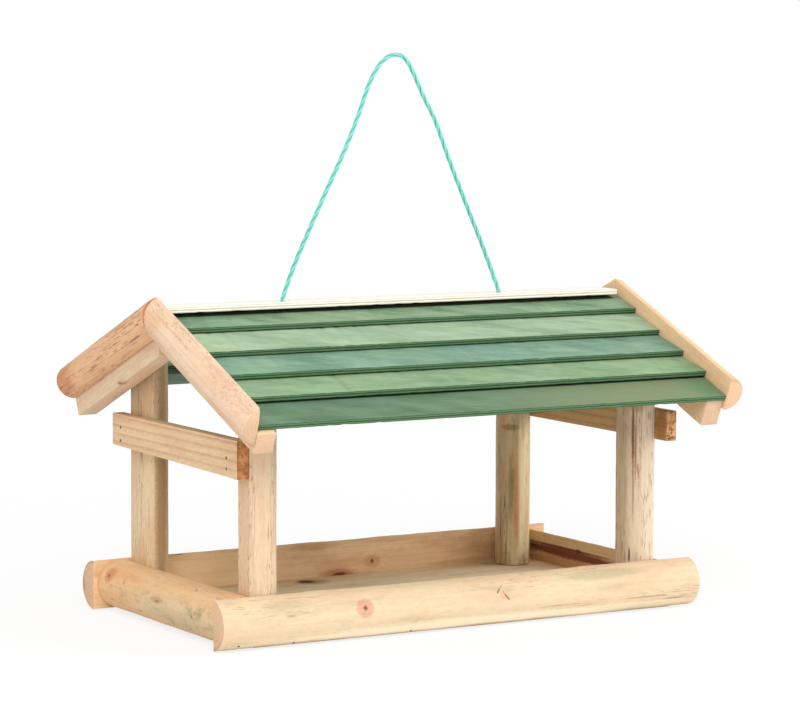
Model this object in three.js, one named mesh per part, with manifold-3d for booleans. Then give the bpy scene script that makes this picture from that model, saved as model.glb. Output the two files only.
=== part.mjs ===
// Hanging bird table: a half-log tray under a slatted gable roof on four half-log posts, hung from a cord loop.
// Millimetres, +Z up, the front rail on the -Y side, the origin under the middle of the whole table.

import * as THREE from 'three';
import { mergeVertices } from 'three/addons/utils/BufferGeometryUtils.js';
import Module from 'manifold-3d';

// Fits
const gap = 0.3; // left between pieces that touch
const overrun = 4; // how far a cutter runs past what it cuts

// Tray
const trayWidth = 194.4; // between the long rails' flats
const railHeight = 37.1;
const frontRailThickness = 16.3;
const frontRailLeftOverhang = 4.1; // past the end rail
const frontRailRightOverhang = 2.3;
const backRailThickness = 19.6;
const backRailLeftOverhang = 2.8;
const leftEndPlane = 170.6; // the left end rail's flat, left of the middle
const leftEndSawn = 9.8; // what the saw took off that log
const rightEndPlane = 182; // the right end rail's flat, right of the middle
const rightEndHeight = 33.8;
const rightEndThickness = 13.7;
const floorThickness = 9.7;

// Posts: each a log of this radius, with this much sawn off its outer side
const leftFrontPostRadius = 14.1;
const leftFrontPostSawn = 3.7;
const leftBackPostRadius = 19.7;
const leftBackPostSawn = 19.7;
const rightFrontPostRadius = 18.2;
const rightFrontPostSawn = 16.9;
const rightBackPostRadius = 14.1;
const rightBackPostSawn = 3.5;
const rightPostSetback = 14.8; // from the right end rail's flat to the right posts' flats

// Tie bars across each pair of posts
const leftTieThickness = 9.5;
const leftTieDrop = 94.5; // from the apex to the bar's top
const leftTieBackHeight = 23.8;
const leftTieFrontHeight = 27.3;
const leftTieBackOverhang = 10.1; // past the back post
const leftTieFrontSetback = 6.2; // short of the front post's outer side
const rightTieThickness = 8.8;
const rightTieDrop = 90.5;
const rightTieHeight = 22.5;
const rightTieFrontOverhang = 14.1;

// Roof: places on a slope are a run down the slope from the apex and a drop square to it
const roofPitchDegrees = 22.57;
const apexHeight = 239.5; // where the barge boards' top edges meet
const bargeWidth = 27.1; // but for the left front one
const bargeThickness = 13.6;
const leftFrontBargeWidth = 30;
const leftFrontBargeThickness = 12.2;
const leftFrontBargeLength = 169.5;
const rightFrontBargeLength = 165.9;
const backBargeLength = 161.3;
const rafterDrop = 19.2; // from the barge boards' top edges to the rafters' tops
const rafterWidth = 14.7;
const rafterDepth = 20.6; // but for the left front one
const leftFrontRafterDepth = 15.3;
const leftFrontRafterLength = 170;
const rightFrontRafterLength = 163.5;
const backRafterLength = 161.5;
const slatThickness = 4;
const slatRun = 165; // from the apex to the eave slat's lower edge
const courseShares = [0.215, 0.424, 0.63, 0.8206, 1]; // the lower edges, as shares of the run
const slatLap = 12;
const eaveLap = 7;

// Ridge strip and the cord through it
const stripWidth = 28;
const stripThickness = 4;
const stripShortfall = 7.1; // how far it ends short of the right barge board
const cordDiameter = 3.2;
const leftHolePlace = 95; // left of the middle
const rightHolePlace = 89.8;
const knotRadius = 4.6;
const cordTail = 9; // below each knot
const cordRoute = [
  [-86.5, 255.3], [-76.5, 276.2], [-60.9, 307.1], [-42.3, 343.2], [-32.3, 365.6], [-22.2, 390.6],
  [-15.0, 401.9], [-7.7, 408.2], [-0.4, 410.1], [6.9, 407.5], [12.9, 399.3], [23.4, 379.0],
  [32.3, 363.7], [46.0, 331.7], [61.2, 298.1], [75.1, 268.1],
]; // x and z of the loop between the strip's holes

// Nails: one size throughout
const nailLength = 20;
const nailRadius = 0.7;
const nailHeadRadius = 1.4;
const nailHeadThickness = 0.8;
const nailPoint = 2;
const nailProud = 0.2; // how far a head stands out of the wood
const backNailAcrossShare = 0.83; // of the left back post's radius, from its middle
const backNailDropShares = [0.41, 0.82]; // of the tie bar's height there, from its top
const frontNailAcrossShare = 0.56;
const frontNailDropShares = [0.5, 0.78];
const rightNailAcrossShare = 0.1;
const rightNailDropShares = [0.3, 0.7];
const floorNailShares = [0.835, 0.277]; // of the distance from the middle to the left end rail's flat
const floorNailHeightShare = 0.33; // of the floor's thickness
const endNailShare = 0.6; // of the left end rail's thickness, from its flat
const endNailHeightShare = 0.5; // of the floor's thickness

// Facets
const arcSteps = 9;
const nailSides = 10;
const knotSides = 12;
const knotRings = 6;
const cordSides = 8;
const cordSteps = 76;
const holeSides = 16;

// Worked out from the sizes above
const halfTray = trayWidth / 2;
const postSide = halfTray - gap; // where each post's outer side meets its rail
const leftPostPlane = leftEndPlane - gap;
const rightPostPlane = rightEndPlane - rightPostSetback;
const leftTieTop = apexHeight - leftTieDrop;
const rightTieTop = apexHeight - rightTieDrop;
const leftTieFace = leftPostPlane + gap + leftTieThickness;
const rightTieFace = rightPostPlane + gap + rightTieThickness;
const bargePlane = Math.max(leftTieFace, rightTieFace) + gap + rafterWidth + gap; // the barge boards' flats
const roofInside = bargePlane - gap;
const pitch = THREE.MathUtils.degToRad(roofPitchDegrees);
const fall = Math.sin(pitch);
const level = Math.cos(pitch);
const ridgePlay = gap / 2; // each slope's pieces stop this far from the ridge's plane
const cordRadius = cordDiameter / 2;

const X = new THREE.Vector3(1, 0, 0);
const Y = new THREE.Vector3(0, 1, 0);
const Z = new THREE.Vector3(0, 0, 1);
const reversed = (axis) => axis.clone().negate();

const wasm = await Module();
wasm.setup();

// Shapes

function polygon(points) {
  return new THREE.Shape(points.map(([x, y]) => new THREE.Vector2(x, y)));
}

// A sawn log's section: the flat on the line x = 0, the round side towards +x.
function logSection(radius, thickness) {
  const centre = thickness - radius;
  const halfFlat = Math.sqrt(radius ** 2 - centre ** 2);
  const sweep = Math.atan2(halfFlat, -centre);
  const section = new THREE.Shape();
  section.absarc(centre, 0, radius, -sweep, sweep, false);
  return section;
}

// The radius of a log whose sawn piece has this flat and this thickness.
function radiusFromFlat(flatWidth, thickness) {
  return (flatWidth ** 2 / 4 + thickness ** 2) / (2 * thickness);
}

// A section drawn on the axes across and up, and extruded square to them, centred on the origin.
function bar(section, length, across, up) {
  const options = { depth: length, steps: 1, bevelEnabled: false, curveSegments: arcSteps };
  const geometry = new THREE.ExtrudeGeometry(section, options).translate(0, 0, -length / 2);
  const along = new THREE.Vector3().crossVectors(across, up);
  return geometry.applyMatrix4(new THREE.Matrix4().makeBasis(across, up, along));
}

function reshape(geometry, change) {
  const corners = geometry.attributes.position;
  const corner = new THREE.Vector3();
  for (let i = 0; i < corners.count; i++) {
    corner.fromBufferAttribute(corners, i);
    change(corner);
    corners.setXYZ(i, corner.x, corner.y, corner.z);
  }
  geometry.computeVertexNormals();
  return geometry;
}

// Solids for cutting and joining

function solidOf(geometry, matrix = new THREE.Matrix4()) {
  const bare = geometry.clone().applyMatrix4(matrix);
  bare.deleteAttribute('normal');
  bare.deleteAttribute('uv');
  const merged = mergeVertices(bare);
  const vertProperties = new Float32Array(merged.attributes.position.array);
  const triVerts = new Uint32Array(merged.index.array);
  return new wasm.Manifold(new wasm.Mesh({ numProp: 3, vertProperties, triVerts }));
}

function geometryOf(solid) {
  const mesh = solid.getMesh();
  const geometry = new THREE.BufferGeometry();
  geometry.setAttribute('position', new THREE.BufferAttribute(new Float32Array(mesh.vertProperties), 3));
  geometry.setIndex(new THREE.BufferAttribute(new Uint32Array(mesh.triVerts), 1));
  const faceted = geometry.toNonIndexed();
  faceted.computeVertexNormals();
  return faceted;
}

function joined(solids) {
  return solids.reduce((whole, solid) => whole.add(solid));
}

// Takes a cutter, given in the table's frame, out of a mesh that stands in its group.
function cut(mesh, cutter) {
  const toMesh = mesh.matrixWorld.clone().invert();
  const local = solidOf(geometryOf(cutter), toMesh);
  mesh.geometry = geometryOf(solidOf(mesh.geometry).subtract(local));
}

// The scene

const assembly = new THREE.Group();
const tray = new THREE.Group();
const posts = new THREE.Group();
const ties = new THREE.Group();
const roof = new THREE.Group();
const ridge = new THREE.Group();
const cord = new THREE.Group();
const nails = new THREE.Group();
assembly.add(tray, posts, ties, roof, ridge, cord, nails);

function piece(group, name, geometry, finish, place = [0, 0, 0]) {
  const mesh = new THREE.Mesh(geometry, new THREE.MeshStandardMaterial(finish));
  mesh.name = name;
  mesh.position.set(...place);
  group.add(mesh);
  return mesh;
}

const peeledPole = (color) => ({ color, roughness: 0.75, metalness: 0 });
const sawnTimber = (color) => ({ color, roughness: 0.85, metalness: 0 });
const stainedPly = (color) => ({ color, roughness: 0.7, metalness: 0 });
const twistedCord = { color: '#74e0c6', roughness: 0.6, metalness: 0 };
const wireNail = { color: '#8d8a84', roughness: 0.45, metalness: 0.9 };

// Tray

const leftEndThickness = railHeight - leftEndSawn;
const leftEndFace = leftEndPlane + leftEndThickness;
const rightEndFace = rightEndPlane + rightEndThickness;

function longRail(name, side, thickness, leftReach, rightReach, color) {
  const section = logSection(radiusFromFlat(railHeight, thickness), thickness);
  const geometry = bar(section, leftReach + rightReach, side > 0 ? Y : reversed(Y), Z);
  const place = [(rightReach - leftReach) / 2, side * halfTray, railHeight / 2];
  return piece(tray, name, geometry, peeledPole(color), place);
}

function endRail(name, side, plane, section, height, color) {
  const geometry = bar(section, trayWidth - 2 * gap, side > 0 ? X : reversed(X), Z);
  return piece(tray, name, geometry, peeledPole(color), [side * plane, 0, height / 2]);
}

const frontRail = longRail(
  'front_rail', -1, frontRailThickness,
  leftEndFace + frontRailLeftOverhang, rightEndFace + frontRailRightOverhang, '#f6e2b6',
);
const backRail = longRail(
  'back_rail', 1, backRailThickness, leftEndFace + backRailLeftOverhang, rightEndFace, '#e3c391',
);

const leftEndSection = logSection(railHeight / 2, leftEndThickness);
const leftEndRail = endRail('left_end_rail', -1, leftEndPlane, leftEndSection, railHeight, '#dba763');
const rightEndSection = logSection(radiusFromFlat(rightEndHeight, rightEndThickness), rightEndThickness);
endRail('right_end_rail', 1, rightEndPlane, rightEndSection, rightEndHeight, '#c99a5c');

const floorLeft = -leftEndPlane + gap;
const floorRight = rightEndPlane - gap;
const floorSlab = new THREE.BoxGeometry(floorRight - floorLeft, trayWidth - 2 * gap, floorThickness);
const floorMiddle = [(floorLeft + floorRight) / 2, 0, floorThickness / 2];
const floorBoard = piece(tray, 'floor_board', floorSlab, sawnTimber('#cfa873'), floorMiddle);

// Posts: they stand on the floor against the long rails, their tops sawn to the roof's pitch

const postFoot = floorThickness + gap;
const postTopAt = (y) => apexHeight - rafterDrop / level - Math.abs(y) * Math.tan(pitch);

function post(name, side, end, plane, radius, sawn, color) {
  const middle = end * (postSide - radius);
  const section = logSection(radius, 2 * radius - sawn);
  const geometry = bar(section, apexHeight, side > 0 ? reversed(X) : X, Y);
  reshape(geometry, (corner) => {
    corner.z = corner.z > 0 ? postTopAt(middle + corner.y) - postFoot : 0;
  });
  const mesh = piece(posts, name, geometry, peeledPole(color), [side * plane, middle, postFoot]);
  mesh.userData = { middle, radius };
  return mesh;
}

const leftFrontPost = post(
  'post_left_front', -1, -1, leftPostPlane, leftFrontPostRadius, leftFrontPostSawn, '#ecd2a2',
);
const leftBackPost = post(
  'post_left_back', -1, 1, leftPostPlane, leftBackPostRadius, leftBackPostSawn, '#cfae80',
);
const rightFrontPost = post(
  'post_right_front', 1, -1, rightPostPlane, rightFrontPostRadius, rightFrontPostSawn, '#d9bd90',
);
const rightBackPost = post(
  'post_right_back', 1, 1, rightPostPlane, rightBackPostRadius, rightBackPostSawn, '#b99b70',
);

// Tie bars: sawn battens across the posts' flats, the left one sawn deeper towards the front

const leftTieFront = -postSide + leftTieFrontSetback;
const leftTieBack = postSide + leftTieBackOverhang;
const leftTieSection = polygon([
  [leftTieFront, -leftTieFrontHeight], [leftTieBack, -leftTieBackHeight], [leftTieBack, 0], [leftTieFront, 0],
]);
const leftTieMiddle = -leftTieFace + leftTieThickness / 2;
const leftTieBar = piece(
  ties, 'tie_bar_left', bar(leftTieSection, leftTieThickness, Y, Z), sawnTimber('#d9b380'),
  [leftTieMiddle, 0, leftTieTop],
);

const rightTieFront = -postSide - rightTieFrontOverhang;
const rightTieSlab = new THREE.BoxGeometry(rightTieThickness, postSide - rightTieFront, rightTieHeight);
const rightTieBar = piece(
  ties, 'tie_bar_right', rightTieSlab, sawnTimber('#cfa672'),
  [rightTieFace - rightTieThickness / 2, (rightTieFront + postSide) / 2, rightTieTop - rightTieHeight / 2],
);

// Roof: each slope is a group with X along the ridge, Y down the slope and Z into the roof

roof.position.z = apexHeight;

function slope(end) {
  const turned = new THREE.Group();
  turned.rotation.z = end > 0 ? Math.PI : 0;
  const plane = new THREE.Group();
  plane.rotation.x = Math.PI + pitch;
  turned.add(plane);
  roof.add(turned);
  return plane;
}

const frontSlope = slope(-1);
const backSlope = slope(1);

// The run at which the ridge's plumb joint stands at a given drop.
const jointAt = (drop) => (ridgePlay + drop * fall) / level;

function barge(name, group, side, { length, width = bargeWidth, thickness = bargeThickness }, color) {
  const section = logSection(radiusFromFlat(width, thickness), thickness);
  const geometry = bar(section, length, side > 0 ? X : reversed(X), side > 0 ? reversed(Z) : Z);
  geometry.translate(0, length / 2, width / 2);
  reshape(geometry, (corner) => {
    if (corner.y < length / 2) corner.y = jointAt(corner.z);
  });
  piece(group, name, geometry, peeledPole(color), [side * bargePlane, 0, 0]);
}

const leftFrontBarge = {
  length: leftFrontBargeLength, width: leftFrontBargeWidth, thickness: leftFrontBargeThickness,
};
barge('barge_left_front', frontSlope, -1, leftFrontBarge, '#f2d6a6');
barge('barge_right_front', frontSlope, 1, { length: rightFrontBargeLength }, '#f0d2a0');
barge('barge_left_back', backSlope, 1, { length: backBargeLength }, '#e8ba80');
barge('barge_right_back', backSlope, -1, { length: backBargeLength }, '#e6c594');

function rafter(name, group, side, length, depth, color) {
  const place = [side * (roofInside - rafterWidth / 2), 0, 0];
  const underside = rafterDrop + depth;
  const outline = [
    [jointAt(rafterDrop), rafterDrop], [length, rafterDrop], [length, underside], [jointAt(underside), underside],
  ];
  piece(group, name, bar(polygon(outline), rafterWidth, Y, Z), sawnTimber(color), place);
}

rafter('rafter_left_front', frontSlope, -1, leftFrontRafterLength, leftFrontRafterDepth, '#d8b27e');
rafter('rafter_right_front', frontSlope, 1, rightFrontRafterLength, rafterDepth, '#e0b983');
rafter('rafter_left_back', backSlope, 1, backRafterLength, rafterDepth, '#cfa774');
rafter('rafter_right_back', backSlope, -1, backRafterLength, rafterDepth, '#cba26e');

// Slats: laid from the eave up, each resting its upper edge on the rafters and its lower part on the slat below.
// The second runs up to the ridge and carries the first.

const slatSeat = rafterDrop - gap;
const lowerEdges = courseShares.map((share) => share * slatRun);

// A slat's section from the run of its upper edge's underside, its lower edge's run and its tilt.
function slatSides(upperRun, upperDrop, lowerRun, tilt) {
  const underside = (run) => upperDrop - (run - upperRun) * Math.tan(tilt);
  const top = (run) => underside(run) - slatThickness / Math.cos(tilt);
  return { upperRun, lowerRun, tilt, underside, top };
}

function restingTilt(upperRun, lowerRun, below) {
  const overBelow = (run) => Math.atan((slatSeat + gap - below.top(run)) / (run - upperRun));
  return Math.max(overBelow(below.upperRun), overBelow(lowerRun));
}

const [edge1, edge2, edge3, edge4, edge5] = lowerEdges;
const slat5 = slatSides(edge4 - eaveLap, slatSeat, edge5, 0);
const slat4Upper = edge3 - slatLap;
const slat4 = slatSides(slat4Upper, slatSeat, edge4, restingTilt(slat4Upper, edge4, slat5));
const slat3Upper = edge2 - slatLap;
const slat3 = slatSides(slat3Upper, slatSeat, edge3, restingTilt(slat3Upper, edge3, slat4));
const slat2Upper = jointAt(slatSeat);
const slat2 = slatSides(slat2Upper, slatSeat, edge2, restingTilt(slat2Upper, edge2, slat3));
const slat1 = slatSides(slat2Upper, slat2.top(slat2Upper) - gap, edge1, slat2.tilt);

// Where a line of the slat, given by its drop at the run of its upper edge, meets the ridge's plumb joint.
function ridgeEnd(dropAt, tilt) {
  const start = jointAt(0);
  const run = (ridgePlay + dropAt(start) * fall + start * Math.tan(tilt) * fall) / (level + Math.tan(tilt) * fall);
  return [run, dropAt(run)];
}

function slatOutline(slat, atRidge) {
  const lean = slatThickness * Math.sin(slat.tilt);
  const upperBottom = atRidge ? ridgeEnd(slat.underside, slat.tilt) : [slat.upperRun, slat.underside(slat.upperRun)];
  const upperTop = atRidge
    ? ridgeEnd(slat.top, slat.tilt)
    : [slat.upperRun - lean, slat.top(slat.upperRun - lean)];
  return [
    upperTop, [slat.lowerRun, slat.top(slat.lowerRun)],
    [slat.lowerRun + lean, slat.underside(slat.lowerRun + lean)], upperBottom,
  ];
}

const courses = [slat1, slat2, slat3, slat4, slat5];
const slatColors = ['#7f9a84', '#b9c98c', '#8fb096', '#a9c48f', '#7d9a6c'];
const slats = {};
for (const [end, group] of [['front', frontSlope], ['back', backSlope]]) {
  slats[end] = courses.map((slat, i) => {
    const section = polygon(slatOutline(slat, i < 2));
    const geometry = bar(section, 2 * roofInside, Y, Z);
    return piece(group, `slat_${end}_${i + 1}`, geometry, stainedPly(slatColors[i]));
  });
}

// Ridge strip: flat on the top slats' ridge, against the left barge boards

const [ridgeRun, ridgeDrop] = ridgeEnd(slat1.top, slat1.tilt);
const ridgeHeight = apexHeight - ridgeRun * fall - ridgeDrop * level;
const stripFoot = ridgeHeight + gap;
const stripTop = stripFoot + stripThickness;
const stripRight = roofInside - stripShortfall;
const stripSlab = new THREE.BoxGeometry(roofInside + stripRight, stripWidth, stripThickness);
const stripMiddle = [(stripRight - roofInside) / 2, 0, stripFoot + stripThickness / 2];
const strip = piece(ridge, 'ridge_strip', stripSlab, sawnTimber('#f3e2b8'), stripMiddle);

// Cord: a free loop whose round ends stand on the strip, over the ends that go down to the knots

function roundCord(curve) {
  const corners = Array.from({ length: cordSides }, (_, i) => {
    const turn = (2 * Math.PI * i) / cordSides;
    return [cordRadius * Math.cos(turn), cordRadius * Math.sin(turn)];
  });
  return new THREE.ExtrudeGeometry(polygon(corners), { steps: cordSteps, extrudePath: curve });
}

const loopFoot = stripTop + gap + cordRadius;
const leftFoot = new THREE.Vector3(-leftHolePlace, 0, loopFoot);
const rightFoot = new THREE.Vector3(rightHolePlace, 0, loopFoot);
const loopPoints = [leftFoot, ...cordRoute.map(([x, z]) => new THREE.Vector3(x, 0, z)), rightFoot];
const loopCurve = new THREE.CatmullRomCurve3(loopPoints, false, 'centripetal');
const loopSolids = [solidOf(roundCord(loopCurve))];
for (const foot of [leftFoot, rightFoot]) {
  const place = new THREE.Matrix4().makeTranslation(foot);
  loopSolids.push(solidOf(new THREE.SphereGeometry(cordRadius, 2 * cordSides, cordSides), place));
}
piece(cord, 'cord_loop', geometryOf(joined(loopSolids)), twistedCord);

// A knot is drawn up into the valley under the two upper slats.
const valleyHeight = apexHeight - jointAt(slatSeat) * fall - slatSeat * level;
const valleyPitch = pitch - slat2.tilt;
const knotHeight = valleyHeight - (knotRadius + gap) / Math.cos(valleyPitch);
const tailEnd = knotHeight - knotRadius - cordTail;

function cordEnd(name, x) {
  const neck = Math.asin(cordRadius / knotRadius);
  const profile = [new THREE.Vector2(0, tailEnd), new THREE.Vector2(cordRadius, tailEnd)];
  for (let ring = 0; ring <= knotRings; ring++) {
    const turn = Math.PI - neck - ((Math.PI - 2 * neck) * ring) / knotRings;
    profile.push(new THREE.Vector2(knotRadius * Math.sin(turn), knotHeight + knotRadius * Math.cos(turn)));
  }
  profile.push(new THREE.Vector2(cordRadius, stripTop), new THREE.Vector2(0, stripTop));
  const upright = new THREE.LatheGeometry(profile, knotSides).rotateX(Math.PI / 2);
  piece(cord, name, geometryOf(solidOf(upright)), twistedCord, [x, 0, 0]);
}

cordEnd('cord_end_left', -leftHolePlace);
cordEnd('cord_end_right', rightHolePlace);

assembly.updateMatrixWorld(true);

const holeDepth = stripTop - knotHeight;
for (const x of [-leftHolePlace, rightHolePlace]) {
  const hole = new THREE.CylinderGeometry(cordRadius + gap, cordRadius + gap, holeDepth + 2 * overrun, holeSides);
  hole.rotateX(Math.PI / 2).translate(x, 0, stripTop - holeDepth / 2);
  const cutter = solidOf(hole);
  for (const mesh of [strip, ...slats.front.slice(0, 2), ...slats.back.slice(0, 2)]) cut(mesh, cutter);
}

// Nails: turned about +Y, the head's face at y = 0, grown by the clearance and run out for the holes

function nailShape(clearance, runOut) {
  const head = nailHeadRadius + clearance;
  const shank = nailRadius + clearance;
  const under = nailHeadThickness + clearance;
  const profile = [
    [0, -runOut], [head, -runOut], [head, under], [shank, under],
    [shank, nailLength - nailPoint + clearance], [0, nailLength + clearance],
  ];
  return new THREE.LatheGeometry(profile.map(([x, y]) => new THREE.Vector2(x, y)), nailSides);
}

// Drives a nail at each place, given by a point on the wood and the turn about Z that aims +Y into it.
function drive(name, places, turn, hosts) {
  const proud = new THREE.Vector3(0, -nailProud, 0).applyAxisAngle(Z, turn);
  const nail = geometryOf(solidOf(nailShape(0, 0)));
  const holes = [];
  places.forEach(([x, y, z], i) => {
    const mesh = piece(nails, `${name}_${i + 1}`, nail, wireNail, [x + proud.x, y + proud.y, z]);
    mesh.rotation.z = turn;
    mesh.updateMatrix();
    holes.push(solidOf(nailShape(gap, overrun), mesh.matrix));
  });
  for (const host of hosts) cut(host, joined(holes));
}

const tieNails = (face, mesh, acrossShare, top, height, dropShares) => dropShares.map((share) => [
  face, mesh.userData.middle + acrossShare * mesh.userData.radius, top - share * height,
]);

drive('tie_bar_left_nail', [
  ...tieNails(-leftTieFace, leftBackPost, backNailAcrossShare, leftTieTop, leftTieBackHeight, backNailDropShares),
  ...tieNails(-leftTieFace, leftFrontPost, frontNailAcrossShare, leftTieTop, leftTieFrontHeight, frontNailDropShares),
], -Math.PI / 2, [leftTieBar, leftBackPost, leftFrontPost]);

drive('tie_bar_right_nail', [
  ...tieNails(rightTieFace, rightBackPost, rightNailAcrossShare, rightTieTop, rightTieHeight, rightNailDropShares),
  ...tieNails(rightTieFace, rightFrontPost, rightNailAcrossShare, rightTieTop, rightTieHeight, rightNailDropShares),
], Math.PI / 2, [rightTieBar, rightBackPost, rightFrontPost]);

// The tray's nails enter low on the long rails' round sides, into the floor's edge and the left end rail.
function railNails(side, thickness) {
  const radius = radiusFromFlat(railHeight, thickness);
  const roundAt = (z) => thickness - radius + Math.sqrt(radius ** 2 - (z - railHeight / 2) ** 2);
  const at = (x, z) => [x, side * (halfTray + roundAt(z)), z];
  const intoFloor = floorNailShares.map((share) => at(-share * leftEndPlane, floorNailHeightShare * floorThickness));
  const intoEnd = at(-leftEndPlane - endNailShare * leftEndThickness, endNailHeightShare * floorThickness);
  return [...intoFloor, intoEnd];
}

drive('front_rail_nail', railNails(-1, frontRailThickness), 0, [frontRail, floorBoard, leftEndRail]);
drive('back_rail_nail', railNails(1, backRailThickness), Math.PI, [backRail, floorBoard, leftEndRail]);

// The barge boards reach farther to the front, so the ridge stands half of that behind the middle.
assembly.position.y = ((leftFrontBargeLength - backBargeLength) * level) / 2;

const table = new THREE.Group();
table.add(assembly);
export default table;
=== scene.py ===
"""Hanging bird table of peeled logs, sawn timber, stained ply and twisted cord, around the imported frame."""

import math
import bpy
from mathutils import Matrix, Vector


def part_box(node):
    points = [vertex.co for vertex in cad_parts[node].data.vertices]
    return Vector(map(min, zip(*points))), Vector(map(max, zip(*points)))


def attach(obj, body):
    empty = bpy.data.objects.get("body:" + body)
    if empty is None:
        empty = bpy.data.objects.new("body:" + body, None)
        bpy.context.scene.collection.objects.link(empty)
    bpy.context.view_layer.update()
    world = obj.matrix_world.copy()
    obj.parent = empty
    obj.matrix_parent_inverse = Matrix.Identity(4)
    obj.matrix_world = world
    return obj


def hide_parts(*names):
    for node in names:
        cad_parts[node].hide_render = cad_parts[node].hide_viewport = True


bl_info = {
    "name": "Hanging bird table",
    "version": (1, 0, 0),
    "blender": (4, 5, 0),
    "location": "3D View > Sidebar > Bird Table",
    "description": "Builds a hanging bird table of half-logs with a slatted roof and a cord loop",
    "category": "Add Mesh",
}

import bmesh
import bpy
import numpy as np
from mathutils import Matrix, Vector

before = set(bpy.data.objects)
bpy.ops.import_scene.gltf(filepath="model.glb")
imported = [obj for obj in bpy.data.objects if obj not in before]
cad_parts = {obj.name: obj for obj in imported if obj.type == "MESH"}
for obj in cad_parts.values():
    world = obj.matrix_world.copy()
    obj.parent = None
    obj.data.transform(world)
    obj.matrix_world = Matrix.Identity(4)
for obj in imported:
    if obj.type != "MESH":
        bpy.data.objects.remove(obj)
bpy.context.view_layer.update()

MM = 0.001
X = Vector((1, 0, 0))
Y = Vector((0, 1, 0))
Z = Vector((0, 0, 1))

# Places repeated from the part's source
PITCH = math.radians(22.57)
DOWN_FRONT = Vector((0, -math.cos(PITCH), -math.sin(PITCH)))
DOWN_BACK = Vector((0, math.cos(PITCH), -math.sin(PITCH)))
UPHILL_FRONT = -DOWN_FRONT
UNDER_FRONT = Vector((0, math.sin(PITCH), -math.cos(PITCH)))
RIDGE_Y = 3.79 * MM
STRIP_TOP = 231.98 * MM
LEFT_HOLE = -95 * MM
RIGHT_HOLE = 89.8 * MM

# The left front barge board's blunt foot: two saw cuts, each with its run down the slope and its drop
# under the top line in millimetres, and its lean in degrees
BLUNT_FOOT = [(165.2, 0.3, 44), (167.6, 2.8, 12)]

# The cord loop's route above the ridge: x and z in millimetres
LOOP_ROUTE = [
    (-95, 233.88), (-86.5, 255.3), (-76.5, 276.2), (-60.9, 307.1), (-42.3, 343.2), (-32.3, 365.6),
    (-22.2, 390.6), (-15.0, 401.9), (-7.7, 408.2), (-0.4, 410.1), (6.9, 407.5), (12.9, 399.3),
    (23.4, 379.0), (32.3, 363.7), (46.0, 331.7), (61.2, 298.1), (75.1, 268.1), (89.8, 233.88),
]

# Each log: the way its grain runs, the way its sawn flat faces, and its slot
LOGS = {
    "front_rail": (X, Y, "front_pole"),
    "back_rail": (X, -Y, "back_pole"),
    "left_end_rail": (Y, X, "end_pole"),
    "right_end_rail": (Y, -X, "end_pole"),
    "post_left_front": (Z, -X, "pale_post"),
    "post_left_back": (Z, -X, "brown_post"),
    "post_right_front": (Z, X, "pale_post"),
    "post_right_back": (Z, X, "brown_post"),
    "barge_left_front": (DOWN_FRONT, X, "front_pole"),
    "barge_left_back": (DOWN_BACK, X, "orange_pole"),
    "barge_right_front": (DOWN_FRONT, -X, "front_pole"),
    "barge_right_back": (DOWN_BACK, -X, "orange_pole"),
}


def linear(hex_colour):
    """A colour written as on paint charts, as the four numbers that Blender's sockets take."""
    parts = [int(hex_colour[i:i + 2], 16) / 255 for i in (1, 3, 5)]
    return tuple(p / 12.92 if p <= 0.04045 else ((p + 0.055) / 1.055) ** 2.4 for p in parts) + (1.0,)


def paint(colour):
    """A colour as Blender's sockets take it, from a setting or from one written as on paint charts."""
    return linear(colour) if isinstance(colour, str) else tuple(colour)


def colour_setting(name, description, hex_colour):
    """A colour that a user would change."""
    return bpy.props.FloatVectorProperty(
        name=name, description=description, default=linear(hex_colour), size=4, min=0, max=1,
        subtype="COLOR",
    )


def length_setting(name, description, millimetres):
    """A length that a user would change, in millimetres here and in metres in Blender."""
    return bpy.props.FloatProperty(
        name=name, description=description, default=millimetres * MM, min=0, precision=5,
        subtype="DISTANCE", unit="LENGTH",
    )


class TimberSettings(bpy.types.PropertyGroup):
    """Sizes and colours of the logs and the sawn timber."""

    slice_length: length_setting("Slice length", "Distance between the cuts along a log's mesh", 4.5)
    peel_depth: length_setting("Peel depth", "How far the peeling knife strays into a log", 0.9)
    fibre_depth: length_setting("Fibre depth", "Depth of the small waves on a peeled log", 0.25)
    log_ease: length_setting("Log edge", "Rounding of a log's sawn edges", 0.5)
    plank_ease: length_setting("Plank edge", "Rounding of a sawn plank's edges", 0.4)
    saw_wander: length_setting("Saw wander", "How far a plank's edges stray from straight", 0.3)
    floor_board: colour_setting("Floor board", "Pale wood of the floor board", "#fce3bd")
    tie_bar: colour_setting("Tie bar", "Pale wood of the left tie bar", "#e2c59b")
    # The right tie bar's colour is the left one's made darker: painted shade
    shade_painted_tie_bar: colour_setting("Shaded tie bar", "Pale wood of the right tie bar", "#d1ad73")
    rafter: colour_setting("Rafter", "Pale wood of the rafters", "#e8cca2")
    grey_rafter: colour_setting("Grey rafter", "Pale wood of the left back rafter", "#e1c8a8")
    knot: colour_setting("Knot", "Disc of a knot in a log", "#c8765a")
    knot_heart: colour_setting("Knot heart", "Dark middle of a knot", "#5a2c1c")


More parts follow.
